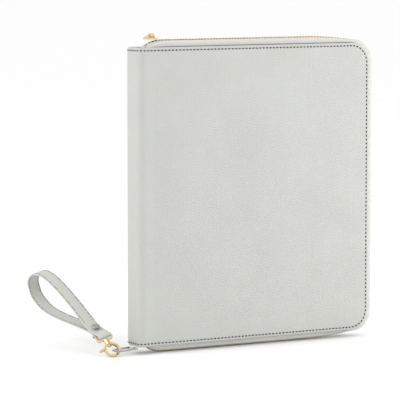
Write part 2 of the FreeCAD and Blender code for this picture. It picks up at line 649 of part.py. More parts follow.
def clasp():
    """The trigger clasp: hook with barrel, gate on its pin, and the swivelling eye for the strap."""
    across, _, along, normal = clasp_frame()
    turn = FreeCAD.Rotation(across, along, normal, "XYZ")
    placement = FreeCAD.Placement(clasp_centre(), turn)
    middle_radius = "(Sizes.claw_radius + Sizes.claw_inner_radius) / 2"
    pin_x = "(%s) * cos(Sizes.gate_start * 1deg)" % middle_radius
    pin_y = "(%s) * sin(Sizes.gate_start * 1deg)" % middle_radius

    claw = new_body("clasp_hook")
    sketch = new_sketch(claw, "XY_Plane")
    circle(sketch, "Sizes.claw_radius")
    pad(claw, sketch, "Sizes.claw_thickness", centred=True)
    barrel = new_sketch(claw, "XZ_Plane", "-Sizes.claw_radius + Sizes.barrel_sink")
    circle(barrel, "Sizes.barrel_radius")
    pad(claw, barrel, "Sizes.barrel_length + Sizes.barrel_sink", reverse=True)
    inside = new_sketch(claw, "XY_Plane")
    circle(inside, "Sizes.claw_inner_radius")
    pocket(claw, inside)
    bore = new_sketch(claw, "XZ_Plane")
    circle(bore, "Sizes.post_radius + Sizes.post_play")
    pocket(claw, bore, "2 * Sizes.claw_radius + 2 * Sizes.barrel_length", reverse=False)
    mouth = new_sketch(claw, "XY_Plane")
    far = 3 * size("claw_radius")
    start = math.radians(size("gate_start"))
    end = math.radians(size("gate_end"))
    reach = "3 * Sizes.claw_radius"
    slot_angle = "(Sizes.gate_start * 1deg - Sizes.gate_relief * 1deg)"
    lip_angle = "(Sizes.gate_start * 1deg + Sizes.gate_relief * 1deg)"
    toe_angle = "(Sizes.gate_end * 1deg - Sizes.gate_gap * 1deg)"
    heel_angle = "(Sizes.gate_start * 1deg - Sizes.gate_heel * 1deg)"
    polygon(mouth, [
        ("0", "0", 0, 0),
        (reach + " * cos" + slot_angle, reach + " * sin" + slot_angle,
         far * math.cos(start), far * math.sin(start)),
        (reach + " * cos(Sizes.gate_end * 1deg)", reach + " * sin(Sizes.gate_end * 1deg)",
         far * math.cos(end), far * math.sin(end)),
    ])
    pocket(claw, mouth, "Sizes.gate_thickness + Sizes.gate_slot_play", centred=True)
    lips = new_sketch(claw, "XY_Plane")
    polygon(lips, [
        ("0", "0", 0, 0),
        (reach + " * cos" + lip_angle, reach + " * sin" + lip_angle,
         far * math.cos(start), far * math.sin(start)),
        (reach + " * cos(Sizes.gate_end * 1deg)", reach + " * sin(Sizes.gate_end * 1deg)",
         far * math.cos(end), far * math.sin(end)),
    ])
    pocket(claw, lips)
    pin_hole = new_sketch(claw, "XY_Plane")
    circle(pin_hole, "Sizes.pin_radius", pin_x, pin_y)
    pocket(claw, pin_hole)
    claw.Placement = placement

    pin = new_body("gate_pin")
    sketch = new_sketch(pin, "XY_Plane")
    circle(sketch, "Sizes.pin_radius", pin_x, pin_y)
    pad(pin, sketch, "Sizes.claw_thickness", centred=True)
    pin.Placement = placement

    gate = new_body("clasp_gate")
    sketch = new_sketch(gate, "XY_Plane")
    circle(sketch, "Sizes.claw_radius - Sizes.gate_face_play")
    circle(sketch, "Sizes.claw_inner_radius + Sizes.gate_face_play")
    pad(gate, sketch, "Sizes.gate_thickness", centred=True)
    keep = new_sketch(gate, "XY_Plane")
    polygon(keep, [
        ("0", "0", 0, 0),
        (reach + " * cos" + toe_angle, reach + " * sin" + toe_angle,
         far * math.cos(end), far * math.sin(end)),
        (reach + " * 2 * cos(270deg)", reach + " * 2 * sin(270deg)", 0.0, -2 * far),
        (reach + " * 2", "0", 2 * far, 0),
        (reach + " * 2 * cos(80deg)", reach + " * 2 * sin(80deg)", 0.3 * far, 1.9 * far),
        (reach + " * cos" + heel_angle, reach + " * sin" + heel_angle,
         far * math.cos(start), far * math.sin(start)),
    ])
    pocket(gate, keep)
    thumb = new_sketch(gate, "XY_Plane")
    centred_rectangle(thumb, "Sizes.thumb_length + Sizes.thumb_overlap", "Sizes.thumb_width",
                      "%s - Sizes.thumb_drop" % pin_y)
    thumb.setExpression("AttachmentOffset.Base.x",
                        "-Sizes.claw_radius - (Sizes.thumb_length - Sizes.thumb_root) / 2")
    pad(gate, thumb, "Sizes.gate_thickness", centred=True)
    hole = new_sketch(gate, "XY_Plane")
    circle(hole, "Sizes.pin_radius + Sizes.pin_play", pin_x, pin_y)
    pocket(gate, hole)
    gate.Placement = placement

    eye = new_body("swivel_eye")
    inner_top = "sqrt(pow(Sizes.claw_inner_radius; 2) - pow(Sizes.post_head_radius; 2))"
    head_top = "(%s - Sizes.post_end_gap)" % inner_top
    barrel_top = "(Sizes.claw_radius + Sizes.barrel_length)"
    head = new_sketch(eye, "XZ_Plane", "-%s" % head_top)
    circle(head, "Sizes.post_head_radius")
    pad(eye, head, "Sizes.post_head_height")
    post = new_sketch(eye, "XZ_Plane", "-%s" % head_top)
    circle(post, "Sizes.post_radius")
    pad(eye, post, "%s + Sizes.post_end_gap + Sizes.post_root - %s" % (barrel_top, head_top), reverse=True)
    frame_low = "(%s + Sizes.post_end_gap)" % barrel_top
    frame = new_sketch(eye, "XY_Plane")
    centred_rectangle(frame, "Sizes.eye_width", "Sizes.eye_length", "%s + Sizes.eye_length / 2" % frame_low)
    pad(eye, frame, "Sizes.eye_wire", centred=True)
    window = new_sketch(eye, "XY_Plane")
    centred_rectangle(window, "Sizes.eye_width - 2 * Sizes.eye_wire",
                      "Sizes.eye_length - 2 * Sizes.eye_wire",
                      "%s + Sizes.eye_length / 2" % frame_low)
    pocket(eye, window)
    half = size("eye_width") / 2
    fillet(eye, "Sizes.eye_corner", lambda edge: runs_along(edge, Z_AXIS)
           and abs(abs(edge.BoundBox.XMin) - half) < 0.1)
    eye.Placement = placement


def strap_pivot():
    """Centre of the eye's outer bar, round which the strap's ends are folded."""
    along = clasp_frame()[2]
    reach = (size("claw_radius") + size("barrel_length") + size("post_end_gap")
             + size("eye_length") - size("eye_wire") / 2)
    return clasp_centre() + along * reach


def teardrop(sketch, near_x, near_radius, far_x, far_radius):
    """Two circles on the sketch's X axis with the straight sides that touch them both."""
    x0, r0, x1, r1 = (size(name) if name else 0.0 for name in (near_x, near_radius, far_x, far_radius))
    swing = math.acos((r0 - r1) / (x1 - x0))
    first = sketch.GeometryCount
    near = Part.Circle(FreeCAD.Vector(x0, 0, 0), Z_AXIS, r0)
    far = Part.Circle(FreeCAD.Vector(x1, 0, 0), Z_AXIS, r1)

    def touch(x, radius, angle):
        return FreeCAD.Vector(x + radius * math.cos(angle), radius * math.sin(angle), 0)

    sketch.addGeometry(Part.ArcOfCircle(near, swing, 2 * math.pi - swing), False)
    sketch.addGeometry(Part.LineSegment(touch(x0, r0, -swing), touch(x1, r1, -swing)), False)
    sketch.addGeometry(Part.ArcOfCircle(far, -swing, swing), False)
    sketch.addGeometry(Part.LineSegment(touch(x1, r1, swing), touch(x0, r0, swing)), False)
    for number in range(4):
        following = first + (number + 1) % 4
        sketch.addConstraint(Sketcher.Constraint("Tangent", first + number, 2, following, 1))
    for number in (0, 2):
        sketch.addConstraint(Sketcher.Constraint("PointOnObject", first + number, 3, -1))
    near_place = "Sizes." + near_x if near_x else "0"
    bind(sketch, "DistanceX", (-1, 1, first, 3), x0, near_place)
    bind(sketch, "DistanceX", (-1, 1, first + 2, 3), x1, "Sizes." + far_x)
    bind(sketch, "Radius", (first,), r0, "Sizes." + near_radius)
    bind(sketch, "Radius", (first + 2,), r1, "Sizes." + far_radius)


def strap():
    """The wrist strap, one band folded into a loop, and the rivet that closes its throat."""
    across, up = clasp_frame()[:2]
    climb = math.radians(size("strap_climb"))
    out = Y_AXIS * math.cos(climb) + up * math.sin(climb)
    turn = FreeCAD.Rotation(out, across.cross(out), across, "XYZ")
    placement = FreeCAD.Placement(strap_pivot(), turn)

    band = new_body("strap_loop")
    sketch = new_sketch(band, "XY_Plane")
    teardrop(sketch, "", "strap_outer_radius", "strap_length", "strap_far_radius")
    pad(band, sketch, "Sizes.strap_width", centred=True)
    hollow = new_sketch(band, "XY_Plane")
    teardrop(hollow, "strap_throat", "strap_throat_radius", "strap_length", "strap_hollow_radius")
    pocket(band, hollow)
    fold = new_sketch(band, "XY_Plane")
    circle(fold, "Sizes.strap_eye_radius")
    pocket(band, fold)
    rivet_hole = new_sketch(band, "XZ_Plane")
    circle(rivet_hole, "Sizes.rivet_post_radius", "Sizes.rivet_distance", "0")
    pocket(band, rivet_hole)
    band.Placement = placement

    rivet = new_body("strap_rivet")
    lift = ("(Sizes.strap_outer_radius + (Sizes.rivet_distance + Sizes.rivet_cap_radius)"
            " * (Sizes.strap_far_radius - Sizes.strap_outer_radius) / Sizes.strap_length + 0.05)")
    post = new_sketch(rivet, "XZ_Plane")
    circle(post, "Sizes.rivet_post_radius", "Sizes.rivet_distance", "0")
    pad(rivet, post, "2 * %s + Sizes.rivet_cap_height" % lift, centred=True)
    for face, reverse in (("-%s" % lift, True), (lift, False)):
        cap = new_sketch(rivet, "XZ_Plane", face)
        circle(cap, "Sizes.rivet_cap_radius", "Sizes.rivet_distance", "0")
        pad(rivet, cap, "Sizes.rivet_cap_height", reverse=reverse)
    reach = size("rivet_cap_height")
    edge_level = max(abs(rivet.Shape.BoundBox.YMin), abs(rivet.Shape.BoundBox.YMax)) - 0.01

    def cap_rim(edge):
        flat = edge.BoundBox.YMax - edge.BoundBox.YMin < 0.01
        return flat and abs(edge.BoundBox.YMin) > edge_level - 0.05

    fillet(rivet, "Sizes.rivet_cap_height * 0.8", cap_rim)
    rivet.Placement = placement


spine()
for name in ("front", "back"):
    cover(name)
    zip_half(name)
text_block()
slider()
foot_tab_and_ring()
clasp()
strap()
doc.recompute()

for item in doc.Objects:
    if "Invalid" in item.State or "Error" in item.State:
        raise RuntimeError("%s is %s" % (item.Label, item.State))
for part in PARTS:
    if part.Shape.isNull() or not part.Shape.isValid() or not part.Shape.Solids:
        raise RuntimeError(part.Label + " has no sound solid")

os.makedirs("parts", exist_ok=True)
for part in PARTS:
    part.Shape.exportStep("parts/%s.step" % part.Label)
    print("%-22s %10.1f mm3  %d solid" % (part.Label, part.Shape.Volume, len(part.Shape.Solids)))
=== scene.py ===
"""Looks of the zip-around prayer book: leatherette, zip, paper, gilt clasp and wrist strap."""

import json
import logging
import math
import random
from dataclasses import dataclass, field
from enum import Enum
from typing import Any, Callable, Iterable, Sequence, Union

import bmesh
import bpy
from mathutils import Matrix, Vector


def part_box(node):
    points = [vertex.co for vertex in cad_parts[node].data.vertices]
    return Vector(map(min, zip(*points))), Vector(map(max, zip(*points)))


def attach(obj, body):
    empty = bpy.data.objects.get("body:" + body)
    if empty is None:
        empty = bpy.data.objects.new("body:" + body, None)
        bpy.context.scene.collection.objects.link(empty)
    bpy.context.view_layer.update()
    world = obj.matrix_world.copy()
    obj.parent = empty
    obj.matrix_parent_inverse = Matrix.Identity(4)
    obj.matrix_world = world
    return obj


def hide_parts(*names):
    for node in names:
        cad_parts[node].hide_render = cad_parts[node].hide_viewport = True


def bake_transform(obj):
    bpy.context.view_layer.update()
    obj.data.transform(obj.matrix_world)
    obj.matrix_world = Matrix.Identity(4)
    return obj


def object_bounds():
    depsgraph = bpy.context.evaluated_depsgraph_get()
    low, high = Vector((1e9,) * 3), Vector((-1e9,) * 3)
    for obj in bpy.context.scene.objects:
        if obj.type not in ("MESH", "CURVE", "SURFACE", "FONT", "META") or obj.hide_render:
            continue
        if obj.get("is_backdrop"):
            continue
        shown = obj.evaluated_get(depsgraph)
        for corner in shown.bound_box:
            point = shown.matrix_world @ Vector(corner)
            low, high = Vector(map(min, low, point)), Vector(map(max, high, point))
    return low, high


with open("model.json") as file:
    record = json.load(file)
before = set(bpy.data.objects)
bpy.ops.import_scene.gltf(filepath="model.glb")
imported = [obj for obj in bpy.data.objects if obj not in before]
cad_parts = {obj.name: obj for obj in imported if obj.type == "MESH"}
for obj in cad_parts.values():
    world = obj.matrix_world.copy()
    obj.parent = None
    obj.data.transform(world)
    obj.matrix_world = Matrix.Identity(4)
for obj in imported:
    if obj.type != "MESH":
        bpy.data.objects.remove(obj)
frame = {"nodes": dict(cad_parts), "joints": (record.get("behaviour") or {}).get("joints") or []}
LOG = logging.getLogger("prayer_book")
MM = 0.001
SEED = 11
Point = tuple[float, float, float]
Flat = tuple[float, float]


class Side(Enum):
    """Which cover a piece belongs to, as the sign of its Y."""

    FRONT = -1
    BACK = 1

    @property
    def word(self) -> str:
        """The side's name in the node names.

        Returns:
            The word front or back.
        """
        return "front" if self is Side.FRONT else "back"


# ---------------------------------------------------------------- materials


def linear(colour: str) -> tuple[float, float, float, float]:
    """Turns an sRGB hex colour into the linear one that a shader takes.

    Args:
        colour: six hex digits, with or without a leading #.

    Returns:
        Linear red, green, blue and an alpha of 1.
    """
    digits = colour.lstrip("#")
    parts = [int(digits[place : place + 2], 16) / 255 for place in (0, 2, 4)]
    straight = [part / 12.92 if part <= 0.04045 else ((part + 0.055) / 1.055) ** 2.4 for part in parts]
    return (straight[0], straight[1], straight[2], 1.0)


@dataclass
class Shader:
    """A node material under construction."""

    name: str
    material: bpy.types.Material = field(init=False)
    surface: bpy.types.Node = field(init=False)

    def __post_init__(self) -> None:
        """Starts the material with its Principled surface and its output."""
        self.material = bpy.data.materials.new(self.name)
        self.material.use_nodes = True
        self.material.node_tree.nodes.clear()
        self.surface = self.node("ShaderNodeBsdfPrincipled")
        self.node("ShaderNodeOutputMaterial", links={"Surface": self.surface.outputs["BSDF"]})

    def node(self, kind: str, settings: dict | None = None, values: dict | None = None,
             links: dict | None = None) -> bpy.types.Node:
        """Adds one node.

        Args:
            kind: the node's type name.
            settings: properties of the node itself.
            values: constants for its input sockets, by name or number.
            links: output sockets that feed its input sockets, by name or number.

        Returns:
            The new node.
        """
        tree = self.material.node_tree
        added = tree.nodes.new(kind)
        for name, value in (settings or {}).items():
            setattr(added, name, value)
        for name, value in (values or {}).items():
            added.inputs[name].default_value = value
        for name, socket in (links or {}).items():
            tree.links.new(socket, added.inputs[name])
        return added

    def maths(self, operation: str, first: object, second: object) -> bpy.types.NodeSocket:
        """One arithmetic step on two values, each a number or an output socket.

        Args:
            operation: the sum to do, such as MULTIPLY.
            first: the left-hand value.
            second: the right-hand value.

        Returns:
            The result's socket.
        """
        pair = list(enumerate((first, second)))
        values = {place: value for place, value in pair if isinstance(value, (int, float))}
        links = {place: value for place, value in pair if not isinstance(value, (int, float))}
        return self.node("ShaderNodeMath", {"operation": operation}, values, links).outputs[0]

    def noise(self, per_mm: float, where: bpy.types.NodeSocket | None = None,
              detail: float = 3.0) -> bpy.types.NodeSocket:
        """Cloudy variation.

        Args:
            per_mm: how many features fit in a millimetre.
            where: the coordinates, or the piece's own when left out.
            detail: octaves of finer variation.

        Returns:
            The noise value's socket.
        """
        place = where or self.node("ShaderNodeTexCoord").outputs["Object"]
        values = {"Scale": per_mm / MM, "Detail": detail}
        return self.node("ShaderNodeTexNoise", {}, values, {"Vector": place}).outputs["Fac"]

    def between(self, amount: bpy.types.NodeSocket, first: str, second: str) -> bpy.types.NodeSocket:
        """A colour between two, by an amount from 0 to 1.

        Args:
            amount: the share of the second colour.
            first: the colour at 0, in hex.
            second: the colour at 1, in hex.

        Returns:
            The mixed colour's socket.
        """
        mixed = self.node("ShaderNodeMix", {"data_type": "RGBA"}, links={0: amount})
        mixed.inputs[6].default_value = linear(first)
        mixed.inputs[7].default_value = linear(second)
        return mixed.outputs[2]

    def bump(self, height: bpy.types.NodeSocket, depth: float, strength: float = 1.0) -> None:
        """Raises the surface by a height from 0 to 1.

        Args:
            height: the relief.
            depth: how deep the whole relief is, in metres.
            strength: the share of it that shows.
        """
        values = {"Strength": strength, "Distance": depth}
        relief = self.node("ShaderNodeBump", {}, values, {"Height": height})
        self.material.node_tree.links.new(relief.outputs["Normal"], self.surface.inputs["Normal"])

    def feed(self, socket: str, source: object) -> None:
        """Gives one of the surface's sockets a constant or a link.

        Args:
            socket: the input's name.
            source: a constant, or an output socket.
        """
        if isinstance(source, bpy.types.NodeSocket):
            self.material.node_tree.links.new(source, self.surface.inputs[socket])
        else:
            self.surface.inputs[socket].default_value = source


@dataclass(frozen=True)
class EmbossedLeatherette:
    """Polyurethane-coated cloth, plate-embossed with a fine crosshatch."""

    name: str = "embossed_leatherette"
    light: str = "c9cac6"
    dark: str = "a8a9a4"
    pitch: float = 1.9 * MM
    depth: float = 0.12 * MM

    def build(self) -> bpy.types.Material:
        """Makes the material: raised diagonal ribs each way with painted shade in the valleys between them, and
        a faint cloudiness.

        Returns:
            The new material.
        """
        shader = Shader(self.name)
        place = shader.node("ShaderNodeUVMap", {"uv_map": "cut"}).outputs["UV"]
        parts = shader.node("ShaderNodeSeparateXYZ", links={0: place}).outputs
        waver = shader.maths("MULTIPLY", shader.noise(0.3, place, 2.0), 1.2)
        wave = 2 * math.pi / (self.pitch * math.sqrt(2))
        ribs = []
        for operation in ("ADD", "SUBTRACT"):
            slanted = shader.maths("MULTIPLY", shader.maths(operation, parts[0], parts[1]), wave)
            ribs.append(shader.maths("SINE", shader.maths("ADD", slanted, waver), 0.0))
        choice = shader.maths("MULTIPLY", shader.maths("SUBTRACT", shader.noise(0.07, place, 2.0), 0.5), 2.4)
        raised = shader.maths("ADD", ribs[0], choice)
        lowered = shader.maths("SUBTRACT", ribs[1], choice)
        crossed = shader.maths("MAXIMUM", raised, lowered)
        height = shader.maths("MULTIPLY", shader.maths("ADD", crossed, 0.6), 0.4)
        fine = shader.maths("MULTIPLY", shader.noise(3.0, place, 2.0), 0.2)
        # painted shade and highlight: the valleys are coloured greyer and the ribs paler, over a faint random
        # cloudiness
        tone = shader.maths("MULTIPLY", height, 0.7)
        cloud = shader.maths("MULTIPLY", shader.noise(0.02, place, 3.0), 0.35)
        shader.feed("Base Color", shader.between(shader.maths("ADD", tone, cloud), self.dark, self.light))
        shader.feed("Roughness", 0.6)
        shader.feed("IOR", 1.49)
        shader.feed("Specular IOR Level", 0.3)
        shader.bump(shader.maths("ADD", height, fine), self.depth)
        return shader.material


@dataclass(frozen=True)
class Cloth:
    """A woven textile: two sets of threads crossing, or a twill when slanted."""

    name: str
    light: str
    dark: str
    pitch: float = 0.45 * MM
    depth: float = 0.08 * MM
    slanted: bool = False

    def build(self) -> bpy.types.Material:
        """Makes the material: a matt fibre surface with a soft sheen and a thread relief.

        Returns:
            The new material.
        """
        shader = Shader(self.name)
        place = shader.node("ShaderNodeTexCoord").outputs["Object"]
        parts = shader.node("ShaderNodeSeparateXYZ", links={0: place}).outputs
        wave = 2 * math.pi / self.pitch
        along = shader.maths("ADD", parts[0], parts[1]) if self.slanted else parts[0]
        upward = shader.maths("ADD", parts[2], parts[0]) if self.slanted else parts[2]
        warp = shader.maths("SINE", shader.maths("MULTIPLY", along, wave), 0.0)
        weft = shader.maths("SINE", shader.maths("MULTIPLY", upward, wave), 0.0)
        height = shader.maths("ADD", shader.maths("MULTIPLY", shader.maths("MULTIPLY", warp, weft), 0.5), 0.5)
        mottled = shader.maths("ADD", height, shader.noise(0.05))
        shader.feed("Base Color", shader.between(mottled, self.dark, self.light))
        shader.feed("Roughness", 0.9)
        shader.feed("IOR", 1.46)
        shader.feed("Sheen Weight", 0.25)
        shader.bump(height, self.depth)
        return shader.material


@dataclass(frozen=True)
class Metal:
    """Plated or bare metal with rounded arrises and light handling marks."""

    name: str
    colour: str
    worn: str
    roughness: float = 0.22
    bevel: float = 0.25 * MM

    def build(self) -> bpy.types.Material:
        """Makes the material: a bright mirror-like plate, softened by fine rubbing.

        Returns:
            The new material.
        """
        shader = Shader(self.name)
        rubbed = shader.noise(0.25, detail=5.0)
        shader.feed("Base Color", shader.between(rubbed, self.colour, self.worn))
        shader.feed("Metallic", 1.0)
        spread = shader.maths("MULTIPLY", shader.noise(1.5), 0.16)
        shader.feed("Roughness", shader.maths("ADD", spread, self.roughness - 0.06))
        rounded = shader.node("ShaderNodeBevel", {"samples": 6}, {"Radius": self.bevel})
        values = {"Strength": 0.15, "Distance": 0.02 * MM}
        links = {"Height": shader.noise(4.0), "Normal": rounded.outputs["Normal"]}
        relief = shader.node("ShaderNodeBump", {}, values, links)
        shader.feed("Normal", relief.outputs["Normal"])
        return shader.material


@dataclass(frozen=True)
class Sheetstock:
    """Paper, board or foam: matt, slightly mottled, with a fibre or cell relief."""

    name: str
    light: str
    dark: str
    per_mm: float = 0.8
    depth: float = 0.03 * MM
    lines_per_mm: float = 0.0

    def build(self) -> bpy.types.Material:
        """Makes the material, with leaf lines across its thickness where it is a stack.

        Returns:
            The new material.
        """
        shader = Shader(self.name)
        mottle = shader.noise(self.per_mm, detail=4.0)
        tone = mottle
        if self.lines_per_mm:
            place = shader.node("ShaderNodeTexCoord").outputs["Object"]
            across = shader.node("ShaderNodeSeparateXYZ", links={0: place}).outputs[1]
            wave = shader.maths("MULTIPLY", across, 2 * math.pi * self.lines_per_mm / MM)
            tone = shader.maths("ADD", mottle, shader.maths("MULTIPLY", shader.maths("SINE", wave, 0.0), 0.3))
        shader.feed("Base Color", shader.between(tone, self.dark, self.light))
        shader.feed("Roughness", 0.88)
        shader.feed("IOR", 1.5)
        shader.bump(tone, self.depth)
        return shader.material


@dataclass(frozen=True)
class Thread:
    """Twisted polyester sewing thread."""

    name: str
    light: str
    dark: str

    def build(self) -> bpy.types.Material:
        """Makes the material: a soft thread shine broken by the twist.

        Returns:
            The new material.
        """
        shader = Shader(self.name)
        twist = shader.noise(2.5, detail=2.0)
        shader.feed("Base Color", shader.between(twist, self.dark, self.light))
        shader.feed("Roughness", 0.65)
        shader.feed("IOR", 1.5)
        shader.bump(twist, 0.05 * MM)
        return shader.material


Finish = Union[EmbossedLeatherette, Cloth, Metal, Sheetstock, Thread]


def built(finish: Finish) -> Any:
    """A field that holds one finish's material.

    Args:
        finish: the finish to make.

    Returns:
        A field that makes the material together with the other finishes.
    """
    return field(default_factory=finish.build)


@dataclass
class Finishes:
    """Every finish of the book, built once."""

    # pale warm grey, with painted shade that greys the valleys between its crossed ribs
    leatherette: bpy.types.Material = built(EmbossedLeatherette())
    # the same ribs and painted valley shade on a narrow band, a little paler and with less contrast
    strap: bpy.types.Material = built(EmbossedLeatherette("strap_leatherette", "cdcec9", "b3b4ae"))
    # almost black, with a dull thread shine
    thread: bpy.types.Material = built(Thread("charcoal_thread", "2c2b29", "171716"))
    # light grey and matt, with fine slanting threads
    tape: bpy.types.Material = built(Cloth("zip_tape_twill", "cfcfcb", "b9b9b4", slanted=True))
    # light warm grey in a fine plain weave
    lining: bpy.types.Material = built(Cloth("lining_cloth", "d9d7d0", "c4c1b8", 0.5 * MM))
    # cream, with clearly marked threads
    cotton: bpy.types.Material = built(Cloth("band_cotton", "e8e4d8", "b9b4a6", 0.8 * MM, 0.12 * MM))
    # buff and coarse, like gauze set in glue
    mull: bpy.types.Material = built(Cloth("glued_mull", "dcd6c6", "b3ab98", 1.2 * MM, 0.15 * MM))
    # pale gold, rubbed dull on small rounded teeth
    brass: bpy.types.Material = built(Metal("pale_gold_zip_metal", "ead9b4", "bfa675", 0.3, 0.12 * MM))
    # bright warm plating that mirrors what stands round it
    gold: bpy.types.Material = built(Metal("gold_plated_zinc", "f0dfb4", "cdb27a", 0.16))
    # cool grey plating, darker in its rubbed patches
    nickel: bpy.types.Material = built(Metal("nickel_plated_steel", "b9b9b7", "7f7f7e", 0.18))
    # dull mid-grey, slightly mottled
    board: bpy.types.Material = built(Sheetstock("grey_board", "a8a59d", "8f8c84"))
    # cream and finely pitted
    foam: bpy.types.Material = built(Sheetstock("cover_foam", "efece2", "dcd8cb", 2.0, 0.1 * MM))
    # off-white, the edges of many leaves as fine lines
    leaf: bpy.types.Material = built(Sheetstock("uncoated_leaf_paper", "ebe6d8", "d6cfbd", 0.4, 0.02 * MM, 4.0))
    # a plain cream sheet, a little darker than the leaves
    endpaper: bpy.types.Material = built(Sheetstock("end_paper", "e4dfd1", "d3cdbc"))
    # nearly white and even
    floor: bpy.types.Material = built(Sheetstock("pale_studio_floor", "fbfbfb", "f8f8f8", 0.01, 0.001 * MM))


# ---------------------------------------------------------------- mesh help


def make_piece(name: str, vertices: Sequence[Point], faces: Sequence[Sequence[int]],
               material: bpy.types.Material, smooth: bool = True) -> bpy.types.Object:
    """Makes an object from points and faces.

    Args:
        name: the piece's name.
        vertices: its points in the row frame.
        faces: its faces, as point numbers.
        material: its finish.
        smooth: shades it smooth up to a 35 degree edge.

    Returns:
        The new object, linked to the scene.
    """
    mesh = bpy.data.meshes.new(name)
    mesh.from_pydata([tuple(vertex) for vertex in vertices], [], [tuple(face) for face in faces])
    mesh.update()
    tidy = bmesh.new()
    tidy.from_mesh(mesh)
    bmesh.ops.remove_doubles(tidy, verts=tidy.verts, dist=1e-6)
    bmesh.ops.recalc_face_normals(tidy, faces=tidy.faces)
    tidy.to_mesh(mesh)
    tidy.free()
    piece = bpy.data.objects.new(name, mesh)
    bpy.context.scene.collection.objects.link(piece)
    mesh.materials.append(material)
    if smooth:
        for polygon in mesh.polygons:
            polygon.use_smooth = True
        mesh.set_sharp_from_angle(angle=math.radians(35))
    LOG.info("made %s: %d faces", name, len(mesh.polygons))
    return piece


def dress(node: str, material: bpy.types.Material) -> None:
    """Gives a shown CAD node its finish.

    Args:
        node: the node's name.
        material: the finish.
    """
    shown = frame["nodes"][node]
    shown.data.materials.clear()
    shown.data.materials.append(material)
    LOG.info("dressed %s", node)


def tube_faces(rings: int, count: int, closed: bool) -> list[tuple[int, ...]]:
    """Faces that join rings of points into a tube.

    Args:
        rings: how many rings there are.
        count: the points in each ring.
        closed: joins the last ring to the first; otherwise the two ends are capped.

    Returns:
        The faces as point numbers.
    """
    faces: list[tuple[int, ...]] = []
    for ring in range(rings if closed else rings - 1):
        low, high = ring * count, ((ring + 1) % rings) * count
        for place in range(count):
            after = (place + 1) % count
            faces.append((low + place, low + after, high + after, high + place))
    if not closed:
        faces.append(tuple(reversed(range(count))))
        faces.append(tuple(range((rings - 1) * count, rings * count)))
    return faces


def ease(share: float) -> float:
    """A soft step from 0 to 1 as a share goes from 0 to 1.

    Args:
        share: how far along, clipped to 0 to 1.

    Returns:
        The eased share.
    """
    held = min(max(share, 0.0), 1.0)
    return held * held * (3.0 - 2.0 * held)


def smooth_line(points: Sequence[Flat], steps: int) -> list[Flat]:
    """A smooth closed line through a few points.

    Args:
        points: the points, in order round the loop.
        steps: how many points each span is cut into.

    Returns:
        The line's points.
    """
    line: list[Flat] = []
    count = len(points)
    for place in range(count):
        four = [Vector(points[(place + shift) % count]) for shift in (-1, 0, 1, 2)]
        for step in range(steps):
            t = step / steps
            bent = 0.5 * (2 * four[1] + (four[2] - four[0]) * t
                          + (2 * four[0] - 5 * four[1] + 4 * four[2] - four[3]) * t * t
                          + (3 * four[1] - four[0] - 3 * four[2] + four[3]) * t ** 3)
            line.append((bent.x, bent.y))
    return line


def stitch(start: Vector, end: Vector, outward: Vector,
           thickness: float) -> tuple[list[Vector], list[tuple[int, ...]]]:
    """One sewn stitch: a short thread that dips into the cloth at both ends.

    Args:
        start: where the thread comes up.
        end: where it goes down.
        outward: the direction away from the cloth.
        thickness: the thread's diameter.

    Returns:
        The stitch's points and faces.
    """
    side = (end - start).cross(outward).normalized()
    points: list[Vector] = []
    bends = ((0.0, -0.5, 0.45), (0.12, 0.05, 0.9), (0.5, 0.3, 1.0), (0.88, 0.05, 0.9), (1.0, -0.5, 0.45))
    for share, lift, girth in bends:
        middle = start.lerp(end, share) + outward * (lift * thickness)
        for corner in range(6):
            angle = corner * math.pi / 3
            away = side * math.cos(angle) + outward * math.sin(angle)
            points.append(middle + away * (thickness * girth / 2))
    return points, tube_faces(5, 6, closed=False)


def sew(name: str, places: Iterable[tuple[Vector, Vector, Vector]], thickness: float,
        material: bpy.types.Material) -> bpy.types.Object:
    """A run of stitches as one piece.

    Args:
        name: the piece's name.
        places: each stitch's start, end and outward direction.
        thickness: the thread's diameter.
        material: the thread.

    Returns:
        The piece.
    """
    points: list[Vector] = []
    faces: list[tuple[int, ...]] = []
    for start, end, outward in places:
        more, joined = stitch(start, end, outward, thickness)
        faces.extend(tuple(number + len(points) for number in face) for face in joined)
        points.extend(more)
    return make_piece(name, points, faces, material)


# ---------------------------------------------------------------- the cover


